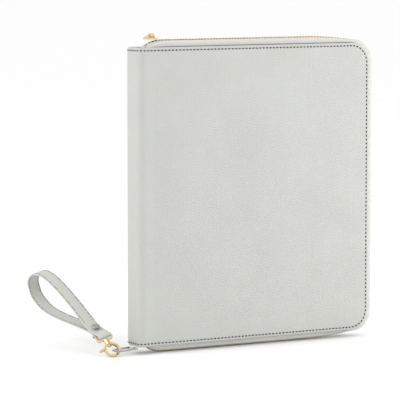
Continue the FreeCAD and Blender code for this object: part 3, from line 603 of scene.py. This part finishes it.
@dataclass
class CoverSkin:
    """The leatherette of one cover, from the spine's middle round to the fore-edge."""

    side: Side
    finishes: Finishes
    corner: float = 18.5 * MM
    spine_round: float = 6.5 * MM
    edge_roll: float = 1.5 * MM
    seam_inset: float = 2.75 * MM
    stitch_pitch: float = 3.6 * MM
    thickness: float = 0.7 * MM

    def __post_init__(self) -> None:
        """Reads the cover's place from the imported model."""
        spine_low, spine_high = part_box("spine_skin")
        low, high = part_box(f"{self.side.word}_cover_skin")
        self.spine_x = spine_low.x
        self.fore_x = high.x
        self.hinge_x = spine_high.x
        self.foot = low.z
        self.head = high.z
        self.face_y = max(abs(low.y), abs(high.y))
        self.wall = self.face_y - min(abs(low.y), abs(high.y))
        self.upright = self.face_y - self.spine_round
        self.turn = self.upright + self.spine_round * math.pi / 2
        self.length = self.turn + self.fore_x - self.spine_x - self.spine_round

    def place(self, run: float, height: float, depth: float) -> Vector:
        """The point at a run along the cloth, a height and a depth under the outer face.

        Args:
            run: distance from the spine's middle, measured on the cloth.
            height: the Z of the point.
            depth: how far inside the outer face it lies.

        Returns:
            The point in the row frame.
        """
        sign = self.side.value
        if run <= self.upright:
            return Vector((self.spine_x + depth, sign * run, height))
        if run <= self.turn:
            angle = (run - self.upright) / self.spine_round
            radius = self.spine_round - depth
            across = self.spine_x + self.spine_round - radius * math.cos(angle)
            return Vector((across, sign * (self.upright + radius * math.sin(angle)), height))
        across = self.spine_x + self.spine_round + run - self.turn
        return Vector((across, sign * (self.face_y - depth), height))

    def outward(self, run: float) -> Vector:
        """The direction away from the book at a run along the cloth.

        Args:
            run: the distance along the cloth from the middle of the spine.

        Returns:
            The unit direction.
        """
        return (self.place(run, 0.0, 0.0) - self.place(run, 0.0, MM)).normalized()

    def edge_distance(self, run: float, height: float) -> float:
        """How far a point of the cloth is from the cover's outline.

        Args:
            run: the distance along the cloth.
            height: the point's height.

        Returns:
            The distance, in metres.
        """
        right = self.length - run
        near = min(height - self.foot, self.head - height)
        if right < self.corner and near < self.corner:
            return self.corner - math.hypot(self.corner - right, self.corner - near)
        return min(right, near)

    def relief(self, run: float, height: float) -> float:
        """The depth of the outer face: rolled edge, sewn groove, joint and padded crown.

        Args:
            run: the distance along the cloth.
            height: the point's height.

        Returns:
            How far the face lies below its highest level.
        """
        edge = max(self.edge_distance(run, height), 0.0)
        depth = 0.45 * MM * math.exp(-edge / (5.0 * MM))
        if edge < self.edge_roll:
            depth += self.edge_roll - math.sqrt(self.edge_roll**2 - (self.edge_roll - edge) ** 2)
        depth += 0.22 * MM * math.exp(-(((edge - self.seam_inset) / (0.55 * MM)) ** 2))
        fall = ease((run - self.turn + 1.0 * MM) / (11.0 * MM))
        climb = ease((run - self.turn - 10.0 * MM) / (34.0 * MM))
        return depth + 0.65 * MM * fall * (1.0 - climb)

    def insets(self, end: float) -> list[float]:
        """Distances from an edge, close together where the edge rolls and the seam lies.

        Args:
            end: the greatest distance wanted.

        Returns:
            The distances, smallest first.
        """
        near = [0.0, 0.08, 0.25, 0.5, 0.8, 1.15, 1.5, 1.9, 2.25, 2.5,
                2.75, 3.0, 3.25, 3.6, 4.2, 5.0, 6.2, 8.0, 10.5, 14.0]
        steps = round((end / MM - 14.0) / 3.5)
        rest = [14.0 + (end / MM - 14.0) * (step + 1) / steps for step in range(steps)]
        return [value * MM for value in near + rest]

    def columns(self) -> list[float]:
        """The runs at which the cloth is cut into columns.

        Returns:
            The runs, from the middle of the spine to the fore-edge.
        """
        fine = self.turn + 10.5 * MM
        turned = [fine * place / 34 for place in range(34)]
        rest = [self.length - inset for inset in reversed(self.insets(self.length - fine))]
        return turned + rest

    def limits(self, run: float) -> Flat:
        """The lowest and highest points of the outline at a run.

        Args:
            run: the distance along the cloth.

        Returns:
            The lowest height and the highest.
        """
        right = self.length - run
        if right >= self.corner:
            return self.foot, self.head
        drop = self.corner - math.sqrt(max(self.corner**2 - (self.corner - right) ** 2, 0.0))
        return self.foot + drop, self.head - drop

    def build(self) -> bpy.types.Object:
        """Makes the skin with its walls, turn-ins and thickness.

        Returns:
            The skin.
        """
        half = self.insets((self.head - self.foot) / 2)
        cloth: list[tuple[float, float, float]] = []
        runs = self.columns()
        for run in runs:
            low, high = self.limits(run)
            share = (high - low) / (self.head - self.foot)
            heights = [low + inset * share for inset in half]
            heights += [high - inset * share for inset in reversed(half[:-1])]
            cloth.extend((run, height, self.relief(run, height)) for height in heights)
        rows = 2 * len(half) - 1
        corners = [(column * rows + row, (column + 1) * rows + row)
                   for column in range(len(runs) - 1) for row in range(rows - 1)]
        faces = [(near, far, far + 1, near + 1) for near, far in corners]
        rim = [column * rows for column in range(len(runs))]
        rim += [(len(runs) - 1) * rows + row for row in range(1, rows)]
        rim += [column * rows + rows - 1 for column in reversed(range(len(runs) - 1))]
        faces += self.turn_in(cloth, rim)
        points = [self.place(*corner) for corner in cloth]
        name = f"{self.side.word}_leatherette_skin"
        mesh = bpy.data.meshes.new(name)
        mesh.from_pydata([tuple(point) for point in points], [], faces)
        layer = mesh.uv_layers.new(name="cut")
        for loop in mesh.loops:
            run, height, depth = cloth[loop.vertex_index]
            layer.data[loop.index].uv = (run + depth, height)
        piece = bpy.data.objects.new(name, mesh)
        bpy.context.scene.collection.objects.link(piece)
        mesh.materials.append(self.finishes.leatherette)
        self.thicken(piece)
        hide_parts("spine_skin", f"{self.side.word}_cover_skin")
        start = self.place(self.turn - 1.5 * MM, 0.0, 0.0)
        end = self.place(self.turn + 7.0 * MM, 0.0, 0.0)
        start.z = end.z = (self.foot + self.head) / 2
        start.y = end.y
        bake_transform(piece)
        LOG.info("made %s: %d faces", name, len(piece.data.polygons))
        return piece

    def turn_in(self, cloth: list[tuple[float, float, float]], rim: list[int]) -> list[tuple[int, ...]]:
        """Adds the wall and the turned-in margin round the outline.

        Args:
            cloth: run, height and depth of each point so far; the new ones are appended.
            rim: the outline's point numbers, in order.

        Returns:
            The new faces.
        """
        faces: list[tuple[int, ...]] = []
        middle_run, middle_height = self.length / 2, (self.head + self.foot) / 2
        previous = rim
        for inset, share in ((0.0, 0.9), (0.35, 1.0), (1.6, 1.0)):
            ring: list[int] = []
            for number in rim:
                run, height, _ = cloth[number]
                full = 2.6 * MM + (self.wall - 2.9 * MM) * min(max((run - self.turn) / (4 * MM), 0.0), 1.0)
                right = self.length - run
                near = min(height - self.foot, self.head - height)
                inward = Vector((0.0, 1.0 if height < middle_height else -1.0))
                if right < self.corner and near < self.corner:
                    centre = Vector((self.length - self.corner, height + inward.y * (self.corner - near)))
                    inward = (centre - Vector((run, height))).normalized()
                elif right < near and run > middle_run:
                    inward = Vector((-1.0, 0.0))
                ring.append(len(cloth))
                cloth.append((run + inward.x * inset * MM, height + inward.y * inset * MM, full * share))
            for place in range(len(rim) - 1):
                faces.append((previous[place], ring[place], ring[place + 1], previous[place + 1]))
            previous = ring
        return faces

    def thicken(self, piece: bpy.types.Object) -> None:
        """Gives the cloth its thickness inward and smooth shading.

        Args:
            piece: the cloth as one sheet.
        """
        mesh = piece.data
        work = bmesh.new()
        work.from_mesh(mesh)
        bmesh.ops.recalc_face_normals(work, faces=work.faces)
        work.faces.ensure_lookup_table()
        sample = max(work.faces, key=lambda face: abs(face.calc_center_median().y))
        if sample.normal.y * self.side.value < 0:
            bmesh.ops.reverse_faces(work, faces=work.faces)
        work.to_mesh(mesh)
        work.free()
        modifier = piece.modifiers.new("thickness", "SOLIDIFY")
        modifier.thickness = self.thickness
        modifier.offset = -1.0
        bpy.context.view_layer.update()
        solid = bpy.data.meshes.new_from_object(piece.evaluated_get(bpy.context.evaluated_depsgraph_get()))
        piece.modifiers.clear()
        piece.data = solid
        for polygon in solid.polygons:
            polygon.use_smooth = True
        solid.set_sharp_from_angle(angle=math.radians(50))

    def seam(self) -> list[tuple[Vector, Vector, Vector, float]]:
        """The stitches round the cover: start, end, outward direction and run.

        Returns:
            One row for each stitch, from the head round to the foot.
        """
        inset = self.seam_inset
        radius = self.corner - inset
        straight = self.length - self.corner
        tall = self.head - self.foot - 2 * self.corner
        quarter = radius * math.pi / 2
        total = 2 * straight + 2 * quarter + tall
        count = round(total / self.stitch_pitch)
        found: list[tuple[Vector, Vector, Vector, float]] = []
        for number in range(count):
            middle = total * (number + 0.5) / count
            ends: list[tuple[float, float]] = []
            for distance in (middle - 1.1 * MM, middle + 1.1 * MM):
                if distance <= straight:
                    ends.append((distance, self.head - inset))
                elif distance <= straight + quarter:
                    angle = (distance - straight) / radius
                    run = straight + radius * math.sin(angle)
                    ends.append((run, self.head - self.corner + radius * math.cos(angle)))
                elif distance <= straight + quarter + tall:
                    fallen = distance - straight - quarter
                    ends.append((self.length - inset, self.head - self.corner - fallen))
                elif distance <= straight + 2 * quarter + tall:
                    angle = (distance - straight - quarter - tall) / radius
                    run = straight + radius * math.cos(angle)
                    ends.append((run, self.foot + self.corner - radius * math.sin(angle)))
                else:
                    ends.append((total - distance, self.foot + inset))
            placed = [self.place(run, height, self.relief(run, height)) for run, height in ends]
            run = (ends[0][0] + ends[1][0]) / 2
            found.append((placed[0], placed[1], self.outward(run), run))
        return found

    def stitches(self) -> None:
        """Sews the seam: one piece on the spine and one on the cover."""
        split = self.turn + 3.0 * MM
        seam = self.seam()
        for body, chosen in (("spine", [s[:3] for s in seam if s[3] < split]),
                             (f"{self.side.word}_cover", [s[:3] for s in seam if s[3] >= split])):
            label = f"{self.side.word}_seam_on_{body}"
            piece = sew(label, chosen, 1.1 * MM, self.finishes.thread)
            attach(piece, body)


@dataclass
class Padding:
    """The thin foam pad under one cover's leatherette."""

    side: Side
    finishes: Finishes

    def build(self) -> bpy.types.Object:
        """Makes the pad: a slab with soft edges.

        Returns:
            The pad.
        """
        node = f"{self.side.word}_cover_padding"
        low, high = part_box(node)
        inset = 4 * MM
        spine_edge = low.x + 2 * inset
        outline = rounded_outline(
            spine_edge, high.x - inset, low.z + inset, high.z - inset, 14 * MM, spine_edge)
        sign = self.side.value
        inner, outer = sorted((abs(low.y), abs(high.y)))
        rings = [(0.4, inner), (0.0, inner + 0.2 * MM), (0.3, outer - 0.8 * MM), (1.4, outer - 0.6 * MM)]
        piece = slab(f"{self.side.word}_foam_pad", outline, rings, sign, self.finishes.foam)
        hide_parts(node)
        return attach(piece, f"{self.side.word}_cover")


def rounded_outline(left: float, right: float, foot: float, head: float,
                    radius: float, square: float) -> list[Flat]:
    """An upright outline with square corners at the spine and round ones at the fore-edge.

    Args:
        left: the spine edge's X.
        right: the fore-edge's X.
        foot: the lowest Z.
        head: the highest Z.
        radius: the round corners' radius.
        square: the X of the square corners.

    Returns:
        The outline's points, going round once.
    """
    line: list[Flat] = [(square, foot), ((left + right) / 2, foot)]
    line += [(right - radius + radius * math.sin(a), foot + radius - radius * math.cos(a))
             for a in (math.pi / 2 * step / 8 for step in range(9))]
    line += [(right, (foot + head) / 2)]
    line += [(right - radius + radius * math.cos(a), head - radius + radius * math.sin(a))
             for a in (math.pi / 2 * step / 8 for step in range(9))]
    line += [((left + right) / 2, head), (square, head)]
    return line


def slab(name: str, outline: list[Flat], rings: list[Flat], sign: int,
         material: bpy.types.Material) -> bpy.types.Object:
    """A flat slab whose edge follows a few rings.

    Args:
        name: the piece's name.
        outline: X and Z of the outline.
        rings: inset in millimetres and distance from the book's middle plane of each ring.
        sign: the side of the middle plane.
        material: the finish.

    Returns:
        The piece.
    """
    centre = Vector((sum(p[0] for p in outline) / len(outline), sum(p[1] for p in outline) / len(outline)))
    points: list[Point] = []
    for inset, out in rings:
        for x, z in outline:
            away = Vector((x, z)) - centre
            moved = Vector((x - math.copysign(inset * MM, away.x), z - math.copysign(inset * MM, away.y)))
            points.append((moved.x, sign * out, moved.y))
    return make_piece(name, points, tube_faces(len(rings), len(outline), closed=False), material)


@dataclass
class Pages:
    """One half of the leaves, sewn in thin gatherings."""

    side: Side
    finishes: Finishes
    gatherings: int = 8

    def build(self) -> None:
        """Makes the gatherings, each a little out of line with the next."""
        node = f"{self.side.word}_leaves"
        low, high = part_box(node)
        inner, outer = sorted((abs(low.y), abs(high.y)))
        luck = random.Random(SEED + self.side.value)
        step = (outer - inner) / self.gatherings
        for number in range(self.gatherings):
            jut = luck.uniform(0.0, 0.45) * MM
            trim = luck.uniform(0.0, 0.3) * MM
            outline = rounded_outline(low.x, high.x - jut, low.z + trim, high.z - trim, 9.5 * MM, low.x)
            near = inner + number * step
            far = near + step
            rings = [(0.25, near + 0.02 * MM), (0.0, near + 0.2 * MM),
                     (0.0, far - 0.2 * MM), (0.25, far - 0.02 * MM)]
            label = f"{self.side.word}_gathering_{number + 1}"
            piece = slab(label, outline, rings, self.side.value, self.finishes.leaf)
            if number == 0:
                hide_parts(node)
            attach(piece, f"{self.side.word}_pages")


# ---------------------------------------------------------------- the zip


@dataclass
class ZipSide:
    """One tape of the zip with its row of teeth."""

    side: Side
    finishes: Finishes
    tooth_pitch: float = 3.0 * MM
    corner: float = 18.5 * MM
    taper: float = 0.45
    taper_x: float = 58.0 * MM
    taper_length: float = 45.0 * MM

    def __post_init__(self) -> None:
        """Reads the zip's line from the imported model."""
        word = self.side.word
        self.low, self.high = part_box(f"{word}_zip_tape")
        cover_low, cover_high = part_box(f"{word}_cover_skin")
        self.cover = (cover_high.x, cover_low.z, cover_high.z)
        self.base = (cover_low.z + 1.5 * MM, cover_high.z - 1.5 * MM)
        teeth_low, teeth_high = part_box(f"{word}_zip_teeth")
        self.ridge = (self.high.x, self.low.z, self.high.z)
        self.crest = (self.ridge[0] + 0.3 * MM, teeth_low.z, teeth_high.z)
        self.total = 0.0
        self.start_x = self.low.x - 13.0 * MM
        self.level_x = self.low.x + 5.0 * MM

    def dip(self, x: float) -> float:
        """The share of its full rise that the zip has at an X, less where it dives at the spine.

        Args:
            x: where along the cover.

        Returns:
            The share, from 0 to 1.
        """
        if x >= self.level_x:
            return 1.0
        return math.sqrt(max(1.0 - ((self.level_x - x) / (self.level_x - self.start_x)) ** 2, 0.0))

    def level(self, x: float, edge: float, base: float, full: float) -> float:
        """The Z of a line of the zip along the head or the foot.

        Args:
            x: where along the cover.
            edge: the cover's own edge there.
            base: the level that the zip dives to at the spine.
            full: the level where the zip stands out fully.

        Returns:
            The level, lower at the spine and towards the fore-edge corner.
        """
        along = max((x - self.taper_x) / self.taper_length, 0.0)
        tapered = edge + (full - edge) * (1.0 - self.taper * along**2)
        return base + (tapered - base) * self.dip(x)

    def line(self, outline: tuple[float, float, float]) -> Callable[[float], tuple[Vector, Vector]]:
        """A line round head, fore-edge and foot, followed by a share from 0 to 1.

        Args:
            outline: the right-hand X, the lowest Z and the highest Z.

        Returns:
            A function that gives the point and the outward direction, both as X and Z.
        """
        right, foot, head = outline
        radius = self.corner
        turn_x = right - radius
        head_turn = self.level(turn_x, self.cover[2], self.base[1], head)
        foot_turn = self.level(turn_x, self.cover[1], self.base[0], foot)
        flat = self.cover[0] - radius - self.start_x
        tall = self.cover[2] - self.cover[1] - 2 * radius
        quarter = radius * math.pi / 2
        spans = (flat, quarter, tall, quarter, flat)
        total = sum(spans)

        def follow(share: float) -> tuple[Vector, Vector]:
            """One place of the line.

            Args:
                share: how far along the line, from 0 to 1.

            Returns:
                The point and the outward direction, both as X and Z.
            """
            distance = share * total
            for number, span in enumerate(spans):
                if distance <= span or number == 4:
                    break
                distance -= span
            part = distance / span
            if number == 0:
                x = self.start_x + part * (turn_x - self.start_x)
                return Vector((x, self.level(x, self.cover[2], self.base[1], head))), Vector((0, 1))
            if number == 1:
                away = Vector((math.sin(part * math.pi / 2), math.cos(part * math.pi / 2)))
                return Vector((turn_x, head_turn - radius)) + away * radius, away
            if number == 2:
                fallen = head_turn - radius - part * (head_turn - foot_turn - 2 * radius)
                return Vector((right, fallen)), Vector((1, 0))
            if number == 3:
                away = Vector((math.cos(part * math.pi / 2), -math.sin(part * math.pi / 2)))
                return Vector((turn_x, foot_turn + radius)) + away * radius, away
            x = turn_x - part * (turn_x - self.start_x)
            return Vector((x, self.level(x, self.cover[1], self.base[0], foot))), Vector((0, -1))

        self.total = total
        return follow

    def build(self) -> None:
        """Makes the tape, its teeth, the cord under them darkened as painted shade between the teeth, and a
        dark line of painted shade at the join with the cover.
        """
        self.tape()
        self.teeth()
        # painted shade: the zip's cord is real, but its dark colour darkens the gaps between the teeth
        self.painted_shade_line("tape_cord_gap_shade", self.crest, -0.75, 0.75, 0.5)
        # painted shade: a dark line in the gap where the tape meets the cover's edge
        self.painted_shade_line("painted_gap_shade", self.cover, 0.0, 8.15, 0.4)

    def painted_shade_line(self, name: str, outline: tuple[float, float, float],
                    rise: float, out: float, radius: float) -> None:
        """Makes a dark tube that runs round the three sides, as painted shade in a gap.

        Args:
            name: the end of the piece's name.
            outline: the line it follows.
            rise: how far outside the line it lies, in millimetres.
            out: its distance from the book's middle plane, in millimetres.
            radius: its radius, in millimetres.
        """
        follow = self.line(outline)
        rings = 400
        points: list[Point] = []
        for number in range(rings):
            here, outward = follow(number / (rings - 1))
            for corner in range(8):
                angle = corner * math.pi / 4
                flat = here + outward * (radius * math.sin(angle) + rise) * MM
                points.append((flat.x, (self.side.value * out + radius * math.cos(angle)) * MM, flat.y))
        faces = tube_faces(rings, 8, closed=False)
        piece = make_piece(f"{self.side.word}_{name}", points, faces, self.finishes.thread)
        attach(piece, f"{self.side.word}_cover")

    def tape(self) -> None:
        """Makes the tape: sewn under the cover, it swells out and folds over to the teeth."""
        base = self.line(self.cover)
        ridge = self.line(self.ridge)
        section = ((-5.5, 0.0, 8.35), (-1.3, 0.0, 8.3), (-1.1, 0.0, 7.7), (0.0, 0.3, 7.6), (0.0, 0.64, 7.1),
                   (0.0, 0.84, 5.7), (0.0, 0.95, 4.0), (0.0, 0.99, 2.6), (0.0, 1.0, 1.1), (0.0, 0.82, 0.75),
                   (0.0, 0.79, 2.6), (0.0, 0.72, 4.3), (0.0, 0.60, 5.6),
                   (0.0, 0.34, 6.6), (-0.6, 0.0, 6.9), (-1.5, 0.0, 7.1), (-5.5, 0.0, 7.5))
        points: list[Point] = []
        rings = 320
        shares = [number / (rings - 1) for number in range(rings)]
        for share in shares:
            under, outward = base(share)
            over, _ = ridge(share)
            for inset, rise, out in section:
                flat = under.lerp(over, rise) + outward * (inset * MM)
                points.append((flat.x, self.side.value * out * MM, flat.y))
        faces = tube_faces(rings, len(section), closed=False)
        piece = make_piece(f"{self.side.word}_zip_tape_cloth", points, faces, self.finishes.tape)
        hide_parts(f"{self.side.word}_zip_tape")
        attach(piece, f"{self.side.word}_cover")

    def teeth(self) -> None:
        """Makes the teeth one by one, the two rows half a pitch apart."""
        crest = self.line(self.crest)
        count = int(self.total / self.tooth_pitch)
        shift = 0.25 if self.side is Side.FRONT else 0.75
        points: list[Point] = []
        faces: list[tuple[int, ...]] = []
        for number in range(count):
            share = (number + shift) / count
            here, outward = crest(share)
            along = Vector((outward.y, -outward.x))
            ring = ((-0.45, 0.85), (-0.62, 0.55), (-0.62, -0.55), (-0.45, -0.85),
                    (0.45, -0.85), (0.62, -0.55), (0.62, 0.55), (0.45, 0.85))
            start = len(points)
            for drop, size in ((1.5, 1.0), (0.3, 1.0), (0.0, 0.8)):
                for run, across in ring:
                    flat = here + along * (run * size * 1.05 * MM) - outward * (drop * MM)
                    points.append((flat.x, (self.side.value * 0.75 + across * size * 1.3) * MM, flat.y))
            tooth = tube_faces(3, len(ring), closed=False)
            faces.extend(tuple(start + corner for corner in face) for face in tooth)
        piece = make_piece(f"{self.side.word}_teeth_row", points, faces, self.finishes.brass)
        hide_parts(f"{self.side.word}_zip_teeth")
        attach(piece, f"{self.side.word}_cover")


# ---------------------------------------------------------------- the strap


@dataclass
class WristStrap:
    """The leatherette strap: a teardrop loop folded round the swivel's eye and riveted."""

    finishes: Finishes
    width: float = 12.0 * MM
    thickness: float = 1.7 * MM
    seam_inset: float = 1.4 * MM
    stitch_pitch: float = 3.0 * MM
    stitch_half: float = 0.95 * MM

    def __post_init__(self) -> None:
        """Reads the strap's pivot and its directions from the joints."""
        joints = {joint["name"]: joint for joint in frame["joints"]}
        swing = joints["strap_swing"]
        self.pivot = Vector(swing["pos_m"])
        self.across = Vector(swing["axis"]).normalized()
        shape = frame["nodes"]["strap_loop"].data.vertices
        reach = max((vertex.co - self.pivot for vertex in shape), key=lambda away: away.length)
        low = min((vertex.co - self.pivot for vertex in shape), key=lambda away: away.z)
        high = max((vertex.co - self.pivot for vertex in shape), key=lambda away: away.z)
        middle = reach.normalized() + (low + high).normalized()
        self.along = (middle - self.across * middle.dot(self.across)).normalized()
        self.up = self.across.cross(self.along).normalized()
        if self.up.z < 0:
            self.up = -self.up
        self.reach = max((vertex.co - self.pivot).dot(self.along) for vertex in shape)
        self.spread = max(abs((vertex.co - self.pivot).dot(self.up)) for vertex in shape)

    def line(self) -> list[Flat]:
        """The strap's middle line in its own plane, once round the loop.

        Returns:
            The points, as distances along the strap and across the loop.
        """
        far, wide = self.reach - self.thickness / 2, self.spread - self.thickness / 2
        eye = 2.2 * MM
        return smooth_line(
            [(-eye, 0.0), (0.0, eye), (6.0 * MM, 1.25 * MM), (11.0 * MM, 0.95 * MM), (16.0 * MM, 1.3 * MM),
             (0.25 * far, 0.28 * wide), (0.41 * far, 0.58 * wide), (0.60 * far, 0.84 * wide),
             (0.76 * far, 0.92 * wide), (0.89 * far, 0.74 * wide), (0.985 * far, 0.30 * wide),
             (far, -0.12 * wide), (0.945 * far, -0.56 * wide), (0.80 * far, -0.74 * wide),
             (0.60 * far, -0.60 * wide), (0.40 * far, -0.36 * wide), (0.24 * far, -0.17 * wide),
             (16.0 * MM, -1.3 * MM), (11.0 * MM, -0.95 * MM), (6.0 * MM, -1.25 * MM), (0.0, -eye)], 10)

    def frame_at(self, line: list[Flat], number: int) -> tuple[Vector, Vector, Vector]:
        """The point, the running direction and the face direction at one place of the line.

        Args:
            line: the strap's middle line.
            number: which point of it.

        Returns:
            The three, in the row frame.
        """
        here, after, before = line[number], line[(number + 1) % len(line)], line[number - 1]
        forward = Vector((after[0] - before[0], after[1] - before[1])).normalized()
        middle = self.pivot + self.along * here[0] + self.up * here[1]
        running = self.along * forward.x + self.up * forward.y
        facing = self.along * -forward.y + self.up * forward.x
        return middle, running, facing

    def build(self) -> None:
        """Makes the band with its turned edges, and sews both of them."""
        line = self.line()
        half, thick, edge = self.width / 2, self.thickness / 2, 0.45 * MM
        section = [(-half, 0.0), (-half + 0.1 * MM, thick - edge), (-half + edge, thick - 0.05 * MM),
                   (-half + self.seam_inset, thick - 0.18 * MM), (-half + 2.4 * MM, thick),
                   (0.0, thick + 0.05 * MM), (half - 2.4 * MM, thick),
                   (half - self.seam_inset, thick - 0.18 * MM), (half - edge, thick - 0.05 * MM),
                   (half - 0.1 * MM, thick - edge), (half, 0.0)]
        section += [(across, -up) for across, up in reversed(section[1:-1])]
        points: list[Point] = []
        for number in range(len(line)):
            middle, _, facing = self.frame_at(line, number)
            points.extend(tuple(middle + self.across * across + facing * up) for across, up in section)
        faces = tube_faces(len(line), len(section), closed=True)
        piece = make_piece("wrist_strap_band", points, faces, self.finishes.strap)
        self.unroll(piece, line)
        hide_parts("strap_loop")
        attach(piece, "strap")
        self.edges(line)

    def unroll(self, piece: bpy.types.Object, line: list[Flat]) -> None:
        """Lays the grain along the band.

        Args:
            piece: the band.
            line: its middle line.
        """
        layer = piece.data.uv_layers.new(name="cut")
        mesh = piece.data
        lengths = [0.0]
        for number in range(1, len(line)):
            lengths.append(lengths[-1] + math.dist(line[number - 1], line[number]))
        spots = [(Vector(spot), run) for spot, run in zip(line, lengths)]
        run_of: dict[int, float] = {}
        for vertex in mesh.vertices:
            local = vertex.co - self.pivot
            flat = Vector((local.dot(self.along), local.dot(self.up)))
            run_of[vertex.index] = min(spots, key=lambda spot: (spot[0] - flat).length_squared)[1]
        for loop in mesh.loops:
            across = (mesh.vertices[loop.vertex_index].co - self.pivot).dot(self.across)
            layer.data[loop.index].uv = (run_of[loop.vertex_index], across)

    def edges(self, line: list[Flat]) -> None:
        """Sews a row of stitches near each edge, on both faces of the band.

        Args:
            line: the strap's middle line.
        """
        places: list[tuple[Vector, Vector, Vector]] = []
        gone = 0.0
        for number in range(45, len(line) - 40):
            gone += math.dist(line[number - 1], line[number])
            if gone < self.stitch_pitch:
                continue
            gone -= self.stitch_pitch
            middle, running, facing = self.frame_at(line, number)
            for across in (-1, 1):
                for face in (-1, 1):
                    aside = self.across * (across * (self.width / 2 - self.seam_inset))
                    spot = middle + aside + facing * (face * (self.thickness / 2 - 0.12 * MM))
                    half = running * self.stitch_half
                    places.append((spot - half, spot + half, facing * face))
        piece = sew("wrist_strap_seam", places, 0.45 * MM, self.finishes.thread)
        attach(piece, "strap")


# ---------------------------------------------------------------- the whole


@dataclass
class PlainParts:
    """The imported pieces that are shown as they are, in their own finishes."""

    finishes: Finishes

    def dress(self) -> None:
        """Gives each shown node its finish."""
        f = self.finishes
        table = {
            "spine_board": f.board, "front_cover_board": f.board, "back_cover_board": f.board,
            "front_cover_lining": f.lining, "back_cover_lining": f.lining,
            "block_back": f.mull, "head_band": f.cotton, "tail_band": f.cotton,
            "front_endpaper": f.endpaper, "back_endpaper": f.endpaper,
            "slider_body": f.gold, "slider_bail": f.gold, "pull_tab": f.gold,
            "foot_tab": f.tape, "d_ring": f.nickel,
            "clasp_hook": f.gold, "gate_pin": f.gold, "clasp_gate": f.gold,
            "swivel_eye": f.gold, "strap_rivet": f.nickel,
        }
        for node, material in table.items():
            dress(node, material)


@dataclass
class Studio:
    """Pale floor, soft light and the camera."""

    finishes: Finishes
    azimuth: float = math.radians(-30.273)
    elevation: float = math.radians(5.462)
    distance: float = 2.545
    lens: float = 253.3
    aim_left: float = 44.51 * MM
    aim_down: float = 7.99 * MM

    def build(self) -> None:
        """Sets the stage."""
        low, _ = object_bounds()
        self.floor(low[2])
        self.lights()
        self.camera()
        bpy.context.scene.view_settings.view_transform = "Standard"

    def floor(self, height: float) -> None:
        """Lays a wide floor under the book.

        Args:
            height: the level of the floor.
        """
        reach = 12.0
        corners = [(-reach, -reach, height), (reach, -reach, height),
                   (reach, reach, height), (-reach, reach, height)]
        floor = make_piece("studio_floor", corners, [(0, 1, 2, 3)], self.finishes.floor, smooth=False)
        floor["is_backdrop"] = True

    def lights(self) -> None:
        """Sets a bright surround and a broad lamp at the upper left."""
        world = bpy.data.worlds.new("studio_surround")
        world.use_nodes = True
        backdrop = world.node_tree.nodes["Background"]
        backdrop.inputs["Color"].default_value = linear("ffffff")
        backdrop.inputs["Strength"].default_value = 1.03
        bpy.context.scene.world = world
        lamps = (("key", (-1.9, 0.1, 1.1), 1.2, 14.0), ("fill", (0.75, -0.55, 0.35), 0.4, 3.4))
        for name, spot, size, power in lamps:
            lamp = bpy.data.lights.new(f"{name}_lamp", "AREA")
            lamp.energy = power
            lamp.size = size
            holder = bpy.data.objects.new(f"{name}_lamp", lamp)
            holder.location = spot
            holder.rotation_euler = (Vector((0, 0, 0.13)) - Vector(spot)).to_track_quat("-Z", "Y").to_euler()
            bpy.context.scene.collection.objects.link(holder)
            holder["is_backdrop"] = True

    def camera(self) -> None:
        """Stands the camera a little left of the spine and just above the middle."""
        low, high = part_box("front_cover_skin")
        right = Vector((math.cos(self.azimuth), math.sin(self.azimuth), 0.0))
        back = Vector((math.sin(self.azimuth) * math.cos(self.elevation),
                       -math.cos(self.azimuth) * math.cos(self.elevation), math.sin(self.elevation)))
        up = back.cross(right)
        middle = Vector((0.0, 0.0, (low.z + high.z) / 2))
        aim = middle - right * self.aim_left - up * self.aim_down
        lens = bpy.data.cameras.new("studio_camera")
        lens.lens = self.lens
        lens.sensor_width = 36.0
        lens.clip_end = 50.0
        holder = bpy.data.objects.new("studio_camera", lens)
        holder.location = aim + back * self.distance
        holder.rotation_euler = back.to_track_quat("Z", "Y").to_euler()
        bpy.context.scene.collection.objects.link(holder)
        bpy.context.scene.camera = holder


def main() -> None:
    """Builds the book, its looks and the studio."""
    logging.basicConfig(level=logging.INFO, format="%(message)s")
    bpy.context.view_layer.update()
    finishes = Finishes()
    PlainParts(finishes).dress()
    for side in Side:
        skin = CoverSkin(side, finishes)
        skin.build()
        skin.stitches()
        Padding(side, finishes).build()
        Pages(side, finishes).build()
        ZipSide(side, finishes).build()
    WristStrap(finishes).build()
    Studio(finishes).build()


if __name__ == "__main__":
    main()
